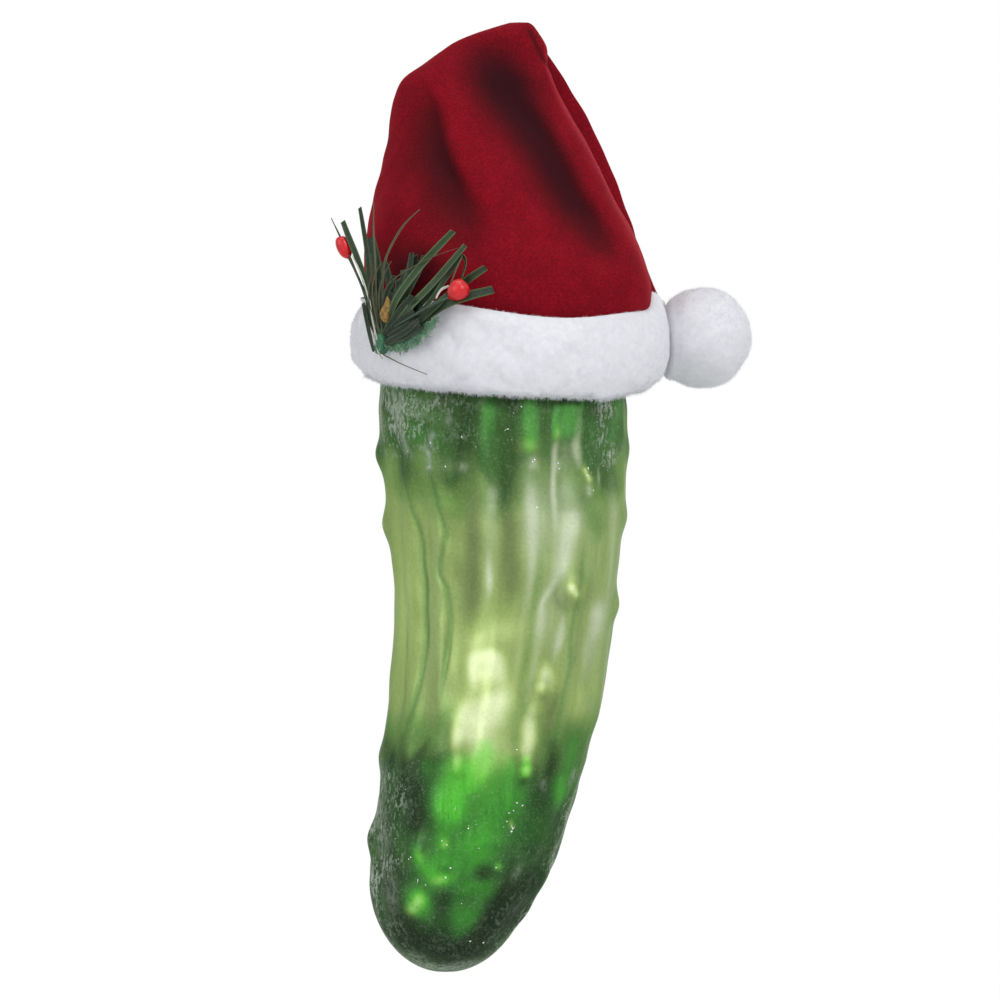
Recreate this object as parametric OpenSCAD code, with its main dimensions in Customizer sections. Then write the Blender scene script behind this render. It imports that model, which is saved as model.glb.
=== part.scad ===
// Glass pickle ornament in a velvet hat, with its cap, hanger, pompom and pine sprig.
// Millimetres, +Z up. The origin is the centre of the hanger wire's eye; -Y is the front.

/* [Glass pickle] */
// Length of the glass from its shoulder to its tip
glass_length = 91.5; // [80:0.5:100]
// Widest diameter, just under the hat
glass_d = 33.2; // [30:0.1:36]
// Wall of the blown glass
glass_wall = 0.9; // [0.7:0.1:1.2]
// Outer diameter of the neck
neck_d = 11.2; // [10:0.1:12]
// Length of the neck above the shoulder
neck_length = 6.4; // [6:0.1:8]
// Height of the rounded shoulder under the neck
shoulder_height = 12.8; // [12:0.1:14]
// Depth of the long grooves
groove_depth = 0.45; // [0:0.05:0.7]
// Height of the warts
wart_height = 0.95; // [0:0.05:1.2]

/* [Cap and hanger wire] */
// Sheet thickness of the metal cap
cap_sheet = 0.35; // [0.3:0.05:0.5]
// Height of the cap
cap_height = 6.2; // [5:0.1:6.4]
// Gap between the cap's skirt and the neck
cap_clearance = 0.15; // [0.1:0.05:0.3]
// Number of flutes round the cap's skirt
cap_flutes = 20; // [12:1:24]
// Diameter of the hanger wire
wire_d = 0.9; // [0.7:0.05:1]
// Inner diameter of the eye
eye_d = 6.8; // [6.2:0.1:8]
// Distance between the two legs where they pass the cap
leg_spacing = 3.4; // [3:0.1:4]
// Gap all round each leg in its hole
leg_clearance = 0.05; // [0.03:0.01:0.1]
// How far the wire slides down through the cap
hanger_play = 3; // [1:0.1:4]
// Length of the legs under the cap
leg_length = 15; // [10:0.5:20]

/* [Hat] */
// Height of the crown from its hem to its peak
crown_height = 43.1; // [40:0.1:46]
// Thickness of the velvet
cloth_t = 1; // [0.8:0.1:1.2]
// How far the crown's hem stands off the widest glass
hem_gap = 0.7; // [0.4:0.1:1]
// Depth of the main fold in front
fold_depth = 2.4; // [1:0.1:3]
// Width of the slit behind the eye
slit_width = 5; // [4.6:0.1:5.6]
// Height of the slit
slit_height = 10; // [9:0.1:11]
// Height of the folded tail's tip over the cuff's top edge
tail_tip_rise = 0.03; // [0:0.01:1]
// Width of the tail at the fold
tail_width = 14.3; // [11:0.1:15]
// Greatest thickness of the tail
tail_thickness = 3; // [2.4:0.1:3.2]
// Height of the fleece cuff
cuff_height = 12; // [10:0.1:14]
// Thickness of the cuff
cuff_thickness = 3.7; // [3:0.1:4.2]
// Gap between soft parts that move apart
soft_gap = 0.3; // [0.25:0.05:0.4]
// Diameter of the pompom
pompom_d = 13.2; // [12:0.1:13.6]
// Diameter of the thread
thread_d = 0.5; // [0.4:0.05:0.6]

/* [Sprig] */
// Length of the longest needles
needle_length = 15.6; // [12:0.1:18]
// Width of a broad needle
needle_width = 1.05; // [0.8:0.05:1.2]
// Thickness of the needle film
needle_t = 0.2; // [0.15:0.01:0.25]
// Width of a fine needle
fine_width = 0.4; // [0.3:0.05:0.6]
// Diameter of a berry
berry_d = 2.9; // [2.4:0.1:3.4]
// Diameter of a berry's wire
berry_wire_d = 0.4; // [0.3:0.05:0.45]
// Height of the wrapped stem
stem_height = 4; // [3:0.1:5]
// Width of the wrapped stem
stem_width = 2.1; // [1.8:0.1:2.6]
// Length of a leaf
leaf_length = 9; // [7:0.1:11]
// Width of a leaf
leaf_width = 2.8; // [2:0.1:3.4]

/* [Hidden] */

round_fn = 64;
eye_fn = 96;
berry_fn = 40;
hole_fn = 32;
wire_fn = 24;
small_fn = 16;
overrun = 1;

// Heights, counted down from the eye
wire_r = wire_d / 2;
eye_r = eye_d / 2 + wire_r;
leg_x = leg_spacing / 2;
arc_half_angle = asin(leg_x / eye_r);
arc_bottom_z = -eye_r * cos(arc_half_angle);
play_margin = 0.6;
cap_top_z = arc_bottom_z - wire_r - hanger_play - play_margin;
rim_seat = 0.05;
rim_z = cap_top_z - cap_sheet - rim_seat;
shoulder_z = rim_z - neck_length;
glass_r = glass_d / 2;
neck_r = neck_d / 2;
neck_inner_r = neck_r - glass_wall;

// Smooth curve through a table's rows; t runs from 0 to the last row's index
function blend_row(a, b, c, d, f) =
    ((2 * b) + (c - a) * f + (2 * a - 5 * b + 4 * c - d) * f * f + (3 * b - a - 3 * c + d) * f * f * f) / 2;
function row_at(table, t) =
    let (last = len(table) - 1, i = min(floor(t), last - 1), f = t - i)
    blend_row(table[max(i - 1, 0)], table[i], table[i + 1], table[min(i + 2, last)], f);
function soft_step(a, b, x) = let (t = min(max((x - a) / (b - a), 0), 1)) t * t * (3 - 2 * t);
function bell(x) = exp(-x * x / 2);

// A strip of triangles between ring a and ring b of n points each
function strip(a, b, n) = [for (i = [0 : n - 1]) let (j = (i + 1) % n)
    each [[a + i, a + j, b + j], [a + i, b + j, b + i]]];
function fan(ring, tip, n, turn) = [for (i = [0 : n - 1]) let (j = (i + 1) % n)
    turn ? [ring + j, ring + i, tip] : [ring + i, ring + j, tip]];
function flat(rings) = [for (r = rings) each r];

// A thin closed shell, open at its first rings: outer rings to a tip, inner rings to a tip
module cup(outer, outer_tip, inner, inner_tip) {
    n = len(outer[0]);
    at_inner = len(outer) * n;
    at_tips = at_inner + len(inner) * n;
    last_outer = at_inner - n;
    last_inner = at_tips - n;
    outer_faces = [for (k = [0 : len(outer) - 2]) each strip(k * n, (k + 1) * n, n)];
    inner_faces = [for (k = [0 : len(inner) - 2]) each strip(at_inner + (k + 1) * n, at_inner + k * n, n)];
    polyhedron(
        points = concat(flat(outer), flat(inner), [outer_tip, inner_tip]),
        faces = concat(outer_faces, inner_faces, strip(at_inner, 0, n),
                       fan(last_outer, at_tips, n, false), fan(last_inner, at_tips + 1, n, true)));
}

// A closed solid through rings, with a tip at each end
module spindle(rings, first_tip, last_tip) {
    n = len(rings[0]);
    tips = len(rings) * n;
    polyhedron(
        points = concat(flat(rings), [first_tip, last_tip]),
        faces = concat([for (k = [0 : len(rings) - 2]) each strip(k * n, (k + 1) * n, n)],
                       fan(0, tips, n, true), fan(tips - n, tips + 1, n, false)));
}

// Glass pickle
// Rows: share of the length, share of the widest diameter that the centre leans by, share of the radius
glass_turn_share = shoulder_height / glass_length;
glass_shares = [
    [glass_turn_share, 0, 1], [0.22, 0.004, 0.98], [0.31, 0.012, 0.946], [0.46, 0.012, 0.885],
    [0.6, -0.026, 0.85], [0.69, -0.072, 0.82], [0.75, -0.109, 0.8], [0.81, -0.146, 0.78], [0.87, -0.18, 0.76],
    [0.93, -0.215, 0.74], [1, -0.228, 0.72]];
tip_start_share = 0.7;
tip_power = 2.9;
tip_wall_factor = 1.4;
glass_depth_share = 0.95;
// Rows: angle from the front towards the right, depth as a share, spread in degrees
groove_rows = [
    [-64, 1, 5], [-42, 1, 5], [-14, 0.8, 7], [12, 0.9, 6], [31, 1, 6], [55, 0.9, 7], [88, 0.8, 8],
    [124, 1, 7], [158, 0.9, 7], [196, 1, 7], [232, 0.8, 7], [264, 0.9, 7]];
groove_wander = 5;
groove_waves = 1.5;
groove_phase = 40;
// Rows: share of the length, angle from the front, height as a share
wart_rows = [
    [0.235, -88, 1], [0.345, -86, 0.9], [0.7, -86, 0.8], [0.81, -84, 0.55], [0.29, 87, 0.8], [0.36, 88, 0.7],
    [0.475, 86, 0.9], [0.62, 87, 0.5], [0.265, 42, 0.9], [0.46, 34, 1], [0.59, 22, 0.9], [0.7, 20, 0.9],
    [0.82, -30, 0.6], [0.88, -22, 0.6], [0.84, 30, 0.5], [0.3, 140, 0.9], [0.52, 160, 0.9],
    [0.68, 200, 0.8], [0.4, 215, 0.9], [0.78, 150, 0.7], [0.57, -125, 0.7], [0.25, 190, 0.8]];
wart_spread = 1.7;
// Shares of the length where the grooves and warts fade in and out
rough_shares = [0.06, 0.16, 0.9, 0.98];
glass_sides = 48;
glass_rings = 42;
inner_rings = 12;

function glass_row(s) =
    let (last = len(glass_shares) - 1,
         i = max([for (k = [0 : last - 1]) if (glass_shares[k][0] <= max(s, glass_turn_share)) k]),
         f = (max(s, glass_turn_share) - glass_shares[i][0]) / (glass_shares[i + 1][0] - glass_shares[i][0]))
    row_at(glass_shares, i + f);
function tip_factor(s) =
    let (t = max(s - tip_start_share, 0) / (1 - tip_start_share)) sqrt(max(1 - pow(t, tip_power), 0));
// The shoulder is a quarter of an ellipse that starts at the neck
function shoulder_factor(s) =
    let (start = sqrt(1 - pow(neck_r / glass_r, 2)), u = start * max(1 - s / glass_turn_share, 0))
    sqrt(1 - u * u);
function groove_at(angle, s) =
    let (wander = groove_wander * sin(360 * groove_waves * s + groove_phase))
    max([for (g = groove_rows)
        let (away = abs(((angle - g[0] - wander + 540) % 360) - 180)) g[1] * bell(away / g[2])]);
function wart_at(angle, s, r) =
    max([for (w = wart_rows)
        let (across = (((angle - w[1] + 540) % 360) - 180) * r * PI / 180, along = (s - w[0]) * glass_length)
        w[2] * bell(sqrt(across * across + along * along) / wart_spread)]);
function glass_point(s, angle, inset, rough) =
    let (row = glass_row(s),
         r = glass_r * row[2] * tip_factor(s) * shoulder_factor(s),
         fade = rough * soft_step(rough_shares[0], rough_shares[1], s)
             * (1 - soft_step(rough_shares[2], rough_shares[3], s)),
         bump = fade * (wart_height * wart_at(angle, s, r) - groove_depth * groove_at(angle, s)),
         reach = max(r + bump - inset, neck_inner_r / 8))
    [row[1] * glass_d + reach * sin(angle),
     -reach * cos(angle) * (1 - (1 - glass_depth_share) * soft_step(0, glass_turn_share, s)),
     shoulder_z - s * glass_length];
function ring_of(s, inset, rough) =
    [for (i = [0 : glass_sides - 1]) glass_point(s, i * 360 / glass_sides, inset, rough)];
function neck_ring(r, z) =
    [for (i = [0 : glass_sides - 1]) let (a = i * 360 / glass_sides) [r * sin(a), -r * cos(a), z]];
// Ring places crowd towards both ends
function place(k, count) = (1 - cos(180 * k / count)) / 2;
inner_span_share = 1 - glass_wall / glass_length;

module glass_body() {
    outer = concat([neck_ring(neck_r, rim_z)],
                   [for (k = [0 : glass_rings - 1]) ring_of(place(k, glass_rings), 0, 1)]);
    inner = concat([neck_ring(neck_inner_r, rim_z), neck_ring(neck_inner_r, shoulder_z - glass_wall / 2)],
                   [for (k = [2 : inner_rings - 1])
                       let (s = place(k, inner_rings) * inner_span_share)
                       ring_of(s, glass_wall + groove_depth, 0)]);
    tip = [glass_shares[len(glass_shares) - 1][1] * glass_d, 0, shoulder_z - glass_length];
    color("#6fae4d") cup(outer, tip, inner, tip + [0, 0, glass_wall * tip_wall_factor]);
}

// Cap
cap_inner_r = neck_r + cap_clearance;
cap_outer_r = cap_inner_r + cap_sheet;
flute_r = 0.28;
bead_r = 0.28;
bead_ring_r = cap_inner_r - bead_r * 3;

module neck_cap() {
    color("#c9a54c") difference() {
        union() {
            translate([0, 0, cap_top_z - cap_height]) cylinder(r = cap_outer_r, h = cap_height, $fn = round_fn);
            for (i = [0 : cap_flutes - 1]) rotate([0, 0, i * 360 / cap_flutes])
                translate([cap_outer_r, 0, cap_top_z - cap_height])
                    cylinder(r = flute_r, h = cap_height - flute_r, $fn = small_fn);
            translate([0, 0, cap_top_z]) rotate_extrude($fn = round_fn)
                translate([bead_ring_r, 0]) circle(r = bead_r, $fn = wire_fn);
        }
        translate([0, 0, cap_top_z - cap_height - overrun])
            cylinder(r = cap_inner_r, h = cap_height - cap_sheet + overrun, $fn = round_fn);
        for (side = [-1, 1]) translate([side * leg_x, 0, cap_top_z - cap_height])
            cylinder(r = wire_r + leg_clearance, h = cap_height + overrun, $fn = hole_fn);
    }
}

// Hanger wire
knuckle_swell = 0.03;
knuckle_r = wire_r + knuckle_swell;
flare_angle = 13;
leg_bend_z = cap_top_z - cap_sheet - knuckle_r;

module hanger_wire() {
    color("#b9bcc0") union() {
        rotate([90, 0, 0]) rotate([0, 0, arc_half_angle - 90])
            rotate_extrude(angle = 360 - 2 * arc_half_angle, $fn = eye_fn)
                translate([eye_r, 0]) circle(r = wire_r, $fn = wire_fn);
        for (side = [-1, 1]) {
            translate([side * leg_x, 0, leg_bend_z])
                cylinder(r = wire_r, h = arc_bottom_z - leg_bend_z, $fn = wire_fn);
            for (z = [arc_bottom_z, leg_bend_z])
                translate([side * leg_x, 0, z]) sphere(r = knuckle_r, $fn = wire_fn);
            translate([side * leg_x, 0, leg_bend_z]) rotate([0, 180 - side * flare_angle, 0])
                cylinder(r = wire_r, h = leg_length, $fn = wire_fn);
        }
    }
}

// Hat crown
crown_r = glass_r + hem_gap;
hem_below_shoulder = 7.4;
hem_z = shoulder_z - hem_below_shoulder;
peak_z = hem_z + crown_height;
// Rows: share of the height, then the reach to the left, right, front and back as shares of the hem's radius
crown_shares = [
    [0, 1, 1, 1, 1], [0.08, 1.05, 1.04, 1.035, 1.03], [0.172, 1.075, 1.052, 1.05, 1.04],
    [0.26, 1.06, 1, 1.02, 0.97], [0.36, 1.04, 0.915, 0.936, 0.844], [0.45, 1, 0.832, 0.832, 0.705],
    [0.545, 0.935, 0.746, 0.717, 0.578], [0.61, 0.902, 0.671, 0.636, 0.497], [0.7, 0.861, 0.555, 0.509, 0.382],
    [0.765, 0.827, 0.48, 0.416, 0.3], [0.83, 0.757, 0.405, 0.324, 0.225], [0.886, 0.566, 0.329, 0.243, 0.168],
    [0.935, 0.382, 0.277, 0.185, 0.139], [0.965, 0.22, 0.237, 0.145, 0.116], [0.99, 0.03, 0.197, 0.081, 0.069]];
peak_x_share = 0.11;
// Rows: x and height of the fold's two ends as shares, depth as a share, spread as a share of the radius
fold_rows = [[-0.16, 0.76, 0.9, 0.2, 1, 0.14], [-0.47, 0.76, -0.13, 0.26, 0.62, 0.095]];
// Shares along a fold where it fades in and out
fold_fade_shares = [-0.12, 0.2, 0.75, 1.1];
crown_sides = 36;
crown_steps = 20;
inner_steps = 10;
inner_top_row = 12.8;
inner_tip_factor = 1.6;

function fold_at(x, v) = sum_of([for (f = fold_rows)
    let (ends = [[f[0], f[1] * crown_height / crown_r], [f[2], f[3] * crown_height / crown_r]],
         p = [x, v * crown_height / crown_r], along = ends[1] - ends[0],
         t = (p - ends[0]) * along / (along * along), away = norm(p - ends[0] - along * t))
    f[4] * bell(away / f[5]) * soft_step(fold_fade_shares[0], fold_fade_shares[1], t)
        * (1 - soft_step(fold_fade_shares[2], fold_fade_shares[3], t))]);
function sum_of(list, i = 0) = i >= len(list) ? 0 : list[i] + sum_of(list, i + 1);
function crown_point(t, angle, inset) =
    let (row = row_at(crown_shares, t),
         left = row[1] * crown_r - inset, right = row[2] * crown_r - inset,
         depth = (cos(angle) > 0 ? row[3] : row[4]) * crown_r - inset,
         x = (right - left) / 2 + (right + left) / 2 * sin(angle),
         facing = max(cos(angle), 0))
    [x, -depth * cos(angle) + fold_depth * facing * fold_at(x / crown_r, row[0]),
     hem_z + row[0] * crown_height];
// Rings run the other way round than the glass's, because they climb
function crown_ring(t, inset) =
    [for (i = [0 : crown_sides - 1]) crown_point(t, -i * 360 / crown_sides, inset)];

slit_z = -2;
slit_depth = glass_d;
slit_sides = 16;

module slit_shape() {
    translate([0, 0, slit_z]) rotate([-90, 0, 0]) linear_extrude(height = slit_depth)
        polygon([for (i = [0 : slit_sides - 1]) let (a = i * 360 / slit_sides)
            [slit_width / 2 * cos(a), slit_height / 2 * sin(a)]]);
}

module hat_crown() {
    last = len(crown_shares) - 1;
    outer = [for (k = [0 : crown_steps]) crown_ring(k * last / crown_steps, 0)];
    inner = [for (k = [0 : inner_steps]) crown_ring(k * inner_top_row / inner_steps, cloth_t)];
    tip = [peak_x_share * crown_r, 0, peak_z];
    color("#9c1420") difference() {
        cup(outer, tip, inner, [0, 0, peak_z - cloth_t * inner_tip_factor]);
        slit_shape();
    }
}

// Hat tail
// The tail hinges on the fold along the crown's ridge and lies on the crown's back
fold_axis_tilt = 17;
tail_lean = 34.5;
tail_root_x_share = -0.09;
tail_root_height_share = 0.885;
tail_bow_share = 0.028;
back_top_share = 0.98;
// Rows: half width and thickness as shares, from the fold to the tip
tail_shares = [[0.5, 0.6], [0.45, 0.8], [0.36, 1], [0.25, 1], [0.13, 0.8], [0.05, 0.42]];
tail_rings = 18;
tail_sides = 16;
tail_root = [tail_root_x_share * crown_r, hem_z + tail_root_height_share * crown_height];
across_tail = [cos(fold_axis_tilt), sin(fold_axis_tilt)];
cuff_rise = 0.3;
cuff_top_z = hem_z + cuff_height / 2 + cuff_rise;
tail_length = (tail_root[1] - cuff_top_z - tail_tip_rise) / cos(tail_lean);

// The crown's table row at a height share v
function crown_index(v, i = 0) =
    i >= len(crown_shares) - 2 || crown_shares[i + 1][0] > v
        ? i + (v - crown_shares[i][0]) / (crown_shares[i + 1][0] - crown_shares[i][0])
        : crown_index(v, i + 1);
// Depth of the crown's back, grown by a gap, under a point of the tail
function back_depth(x, z, gap) =
    let (v = min(max((z - hem_z) / crown_height, 0), back_top_share),
         row = row_at(crown_shares, crown_index(v)),
         mid = (row[2] - row[1]) / 2 * crown_r, reach = (row[2] + row[1]) / 2 * crown_r + gap,
         q = min(abs(x - mid) / reach, 1))
    (row[4] * crown_r + gap) * sqrt(1 - q * q);
fold_half_t = tail_shares[0][1] * tail_thickness / 2;
fold_front_y = max([for (u = [-1 : 0.25 : 1])
    let (p = tail_root + across_tail * u * tail_shares[0][0] * tail_width) back_depth(p[0], p[1], soft_gap)]);
fold_axis_y = fold_front_y + fold_half_t;
function tail_mid(s) =
    tail_root + s * tail_length * [sin(tail_lean), -cos(tail_lean)]
    + sin(180 * s) * tail_bow_share * tail_length * across_tail;
function tail_point(s, angle) =
    let (row = row_at(tail_shares, s * (len(tail_shares) - 1)),
         p = tail_mid(s) + across_tail * cos(angle) * row[0] * tail_width,
         front = max(back_depth(p[0], p[1], soft_gap), fold_front_y))
    [p[0], front + row[1] * tail_thickness / 2 * (1 - sin(angle)), p[1]];
function tail_ring(s) = [for (i = [0 : tail_sides - 1]) tail_point(s, -i * 360 / tail_sides)];
function middle(ring) = [for (c = [0 : 2]) sum_of([for (p = ring) p[c]]) / len(ring)];

pivot_share = 0.985;
pivot = let (p = tail_mid(pivot_share)) [p[0], middle(tail_ring(pivot_share))[1], p[1]];
thread_r = thread_d / 2;
thread_clearance = 0.05;
tail_tip_t = tail_shares[len(tail_shares) - 1][1] * tail_thickness;

module hat_tail() {
    rings = [for (k = [0 : tail_rings]) tail_ring(k / tail_rings)];
    color("#8f111c") difference() {
        spindle(rings, middle(rings[0]), middle(rings[tail_rings]));
        translate(pivot) rotate([90, 0, 0])
            cylinder(r = thread_r + thread_clearance, h = tail_tip_t + 2 * overrun, center = true,
                     $fn = wire_fn);
    }
}

// Hat cuff
cuff_lean_x = 0.8;
cuff_r = crown_r + cuff_thickness;
cuff_side_tilt = 3.6;
cuff_front_tilt = 4.2;
cuff_seat = 0.15;
hem_pocket = 0.9;
// Rows: share of the way from the inner to the outer face, share of the height below the top
cuff_upper_shares = [[0, 0.1], [0.3, 0.015], [0.62, 0], [0.88, 0.13], [1, 0.35], [0.99, 0.6], [0.88, 0.83],
                     [0.58, 0.985]];
cuff_lower_shares = [[0.3, 1], [0, 0.9]];
cuff_sides = 40;

function cuff_tilt(x, y) = -x * tan(cuff_side_tilt) + y * tan(cuff_front_tilt);
function cuff_point(angle, inner_x, inner_y, across, z, tilted) =
    let (x = inner_x * sin(angle) * (1 - across) + (cuff_lean_x + cuff_r * sin(angle)) * across,
         y = -(inner_y * (1 - across) + cuff_r * across) * cos(angle))
    [x, y, z + tilted * cuff_tilt(x, y)];
crown_hug = max([for (row = crown_shares) max(row[1], row[2])]) * crown_r + cuff_seat;
glass_hug = glass_r + cuff_seat;
// One closed loop of the cuff's cross-section: down the outside, in under the lip and up the inside
function cuff_loop(angle) = concat(
    [for (row = cuff_upper_shares)
        cuff_point(angle, crown_hug, crown_hug, row[0], cuff_top_z - row[1] * cuff_height, 1)],
    [for (row = cuff_lower_shares)
        cuff_point(angle, glass_hug, glass_hug, row[0], cuff_top_z - row[1] * cuff_height, 1)],
    [cuff_point(angle, glass_hug, glass_hug, 0, hem_z - hem_pocket, 0),
     cuff_point(angle, crown_hug, crown_hug, 0, hem_z - hem_pocket, 0)]);

module hat_cuff() {
    n = len(cuff_upper_shares) + len(cuff_lower_shares) + 2;
    loops = [for (k = [0 : cuff_sides - 1]) cuff_loop(k * 360 / cuff_sides)];
    color("#f2f4f7") polyhedron(
        points = flat(loops),
        faces = [for (k = [0 : cuff_sides - 1]) each strip(((k + 1) % cuff_sides) * n, k * n, n)]);
}

// Glue bead between the hat and the glass
bead_over_hem = 1.2;
bead_z = hem_z + bead_over_hem;
bead_share = (shoulder_z - bead_z) / glass_length;
bead_seat = 0.25;
bead_inside = glass_r * shoulder_factor(bead_share) * glass_row(bead_share)[2] + bead_seat;
bead_outside = crown_r * min(row_at(crown_shares, crown_index((bead_z - hem_z) / crown_height))[1],
                             row_at(crown_shares, crown_index((bead_z - hem_z) / crown_height))[2])
    - cloth_t - bead_seat;

module hat_glue() {
    color("#e8e2cf") translate([0, 0, bead_z]) rotate_extrude($fn = round_fn)
        translate([(bead_inside + bead_outside) / 2, 0])
            circle(r = (bead_outside - bead_inside) / 2, $fn = wire_fn);
}

// Sewing thread
stitch_count = 7;
stitch_length = 1.8;
stitch_seat = 0.3;
hem_thread_drop = 0.12;
stitch_first_share = 0.2;
stitch_last_share = 0.86;
stitch_margin_share = 0.02;
slit_low_share = (slit_z - slit_height / 2 - hem_z) / crown_height;
slit_high_share = (slit_z + slit_height / 2 - hem_z) / crown_height;
stitch_low_share = slit_low_share - stitch_margin_share;
stitch_high_share = slit_high_share + stitch_margin_share;

// Stitches close the back seam under and over the slit, on the cloth's inner side
module seam_stitches() {
    color("#7c1018") for (k = [0 : stitch_count - 1])
        for (v = [stitch_first_share + (stitch_low_share - stitch_first_share) * k / (stitch_count - 1),
                  stitch_high_share + (stitch_last_share - slit_high_share) * k / (stitch_count - 1)])
            let (depth = row_at(crown_shares, crown_index(v))[4] * crown_r - cloth_t - thread_r - stitch_seat)
            if (depth > stitch_length)
                translate([0, depth, hem_z + v * crown_height]) rotate([0, 90, 0])
                    cylinder(r = thread_r / 2, h = stitch_length, center = true, $fn = small_fn);
}

module hem_thread() {
    color("#e9e4da") translate([0, 0, hem_z - thread_r - hem_thread_drop]) rotate_extrude($fn = round_fn)
        translate([crown_r - cloth_t / 2, 0]) circle(r = thread_r, $fn = small_fn);
}

// Pompom and its thread
pompom_r = pompom_d / 2;
pompom_drop = 5.9;
pompom_out = 6.7;
pompom_centre = [pivot[0] + pompom_out, pivot[1], pivot[2] - pompom_drop];
cuff_to_pompom = pompom_centre - [cuff_lean_x, 0, pompom_centre[2]];
pompom_side = atan2(cuff_to_pompom[1], cuff_to_pompom[0]);
thread_slope = atan2(pompom_drop, pompom_out);
thread_reach = norm([pompom_drop, pompom_out]);
thread_loop_gap = 0.2;
thread_half_span = tail_tip_t / 2 + thread_r + thread_loop_gap;
leg_run = 0.95;
knot_r = 0.5;
knot_place = thread_reach - pompom_r - knot_r;

pompom_to_flat = norm([cuff_to_pompom[0], cuff_to_pompom[1]]) - cuff_r - soft_gap;

// The side of the pompom that leans on the cuff is pressed flat
module pompom() {
    color("#f4f6f8") difference() {
        translate(pompom_centre) rotate([0, 0, pompom_side]) rotate([0, 90, 0])
            rotate_extrude($fn = round_fn) intersection() {
                circle(r = pompom_r, $fn = round_fn);
                translate([0, -pompom_to_flat]) square([pompom_r, pompom_to_flat + pompom_r]);
            }
        translate(pivot) rotate([0, 90 + thread_slope, 0])
            cylinder(r = thread_r + thread_clearance, h = thread_reach + thread_r, $fn = wire_fn);
        translate(pivot) rotate([0, 90 + thread_slope, 0]) translate([0, 0, knot_place])
            cylinder(r = knot_r + thread_clearance, h = 2 * knot_r, $fn = wire_fn);
    }
}

// A loop through the tail's tip, a knot, and one strand into the middle of the pompom
module pompom_thread() {
    color("#ece8de") translate(pivot) {
        rotate([90, 0, 0]) cylinder(r = thread_r, h = 2 * thread_half_span, center = true, $fn = wire_fn);
        rotate([0, 90 + thread_slope, 0]) {
            for (side = [-1, 1]) {
                for (z = [0, leg_run])
                    translate([0, side * thread_half_span, z]) sphere(r = thread_r, $fn = wire_fn);
                translate([0, side * thread_half_span, 0]) cylinder(r = thread_r, h = leg_run, $fn = wire_fn);
                translate([0, side * thread_half_span, leg_run])
                    rotate([side * atan2(thread_half_span, knot_place - leg_run), 0, 0])
                        cylinder(r = thread_r, h = norm([thread_half_span, knot_place - leg_run]),
                                 $fn = wire_fn);
            }
            translate([0, 0, knot_place]) sphere(r = knot_r, $fn = wire_fn);
            translate([0, 0, knot_place]) cylinder(r = thread_r, h = pompom_r + knot_r, $fn = wire_fn);
        }
    }
}

// Sprig
sprig_angle = 50;
glue_pad_r = 1.3;
glue_pad_t = 0.6;
glue_seat = 0.06;
stem_r = stem_width / 2;
stem_centre_r = cuff_r + glue_pad_t + 2 * glue_seat + stem_r;
sprig_x = cuff_lean_x - stem_centre_r * sin(sprig_angle);
sprig_y = -stem_centre_r * cos(sprig_angle);
stem_low_share = 0.52;
stem_low_z = cuff_top_z - stem_low_share * cuff_height;
stem_top_z = stem_low_z + stem_height;
sprig_turn = 25;
layer_step = 0.42;
root_sink = 0.4;

// The sprig fans out in upright layers, counted from the stem towards the back, and is bound in the wrap
module in_layer(layer, z = stem_top_z - root_sink) {
    translate([sprig_x, sprig_y, z]) rotate([0, 0, -sprig_turn])
        translate([0, layer * layer_step, 0]) children();
}

// A flat blade that leaves the root at an angle from upright and bends sideways
blade_steps = 6;
// Width at the root, and how much narrower the tip is, as shares
blade_shares = [0.7, 0.72];
function blade_edge(length, width, bend, side) =
    [for (k = [0 : blade_steps])
        let (t = k / blade_steps, taper = min(1, blade_shares[0] + 2 * t) * (1 - blade_shares[1] * pow(t, 5)))
        [bend * length * t * t + side * width / 2 * taper, length * t]];
module blade(angle, length, width, bend = 0, start = 0) {
    left = blade_edge(length, width, bend, -1);
    right = blade_edge(length, width, bend, 1);
    rotate([0, angle, 0]) translate([0, needle_t / 2, start]) rotate([90, 0, 0])
        linear_extrude(height = needle_t)
            polygon(concat(right, [for (k = [blade_steps : -1 : 0]) left[k]]));
}
// Rows: angle from upright, share of the length, sideways bend as a share
broad_rows = [[-25, 0.93, 0.04], [-13, 1, 0.03], [-4, 0.76, -0.05], [36, 0.97, 0.04], [45, 1, 0.03],
              [60, 1.1, 0.05], [70, 1.12, 0.06]];
short_rows = [[-12, 0.56, -0.05], [10, 0.62, 0.05], [24, 0.72, 0], [46, 0.55, 0.04], [106, 0.5, -0.1],
              [124, 0.3, 0]];
fine_rows = [[-27, 1, 0.01], [-9, 1.03, 0.07], [8, 0.8, 0.1], [15, 1, 0.08], [53, 0.9, -0.1]];

module broad_needles() {
    color("#2f5a3c") in_layer(0)
        for (row = broad_rows) blade(row[0], row[1] * needle_length, needle_width, row[2]);
}
module short_needles() {
    color("#1f3f2c") in_layer(-2)
        for (row = short_rows) blade(row[0], row[1] * needle_length, needle_width, row[2]);
}
module fine_needles() {
    color("#6b7a3a") in_layer(2)
        for (row = fine_rows) blade(row[0], row[1] * needle_length, fine_width, row[2]);
}

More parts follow.
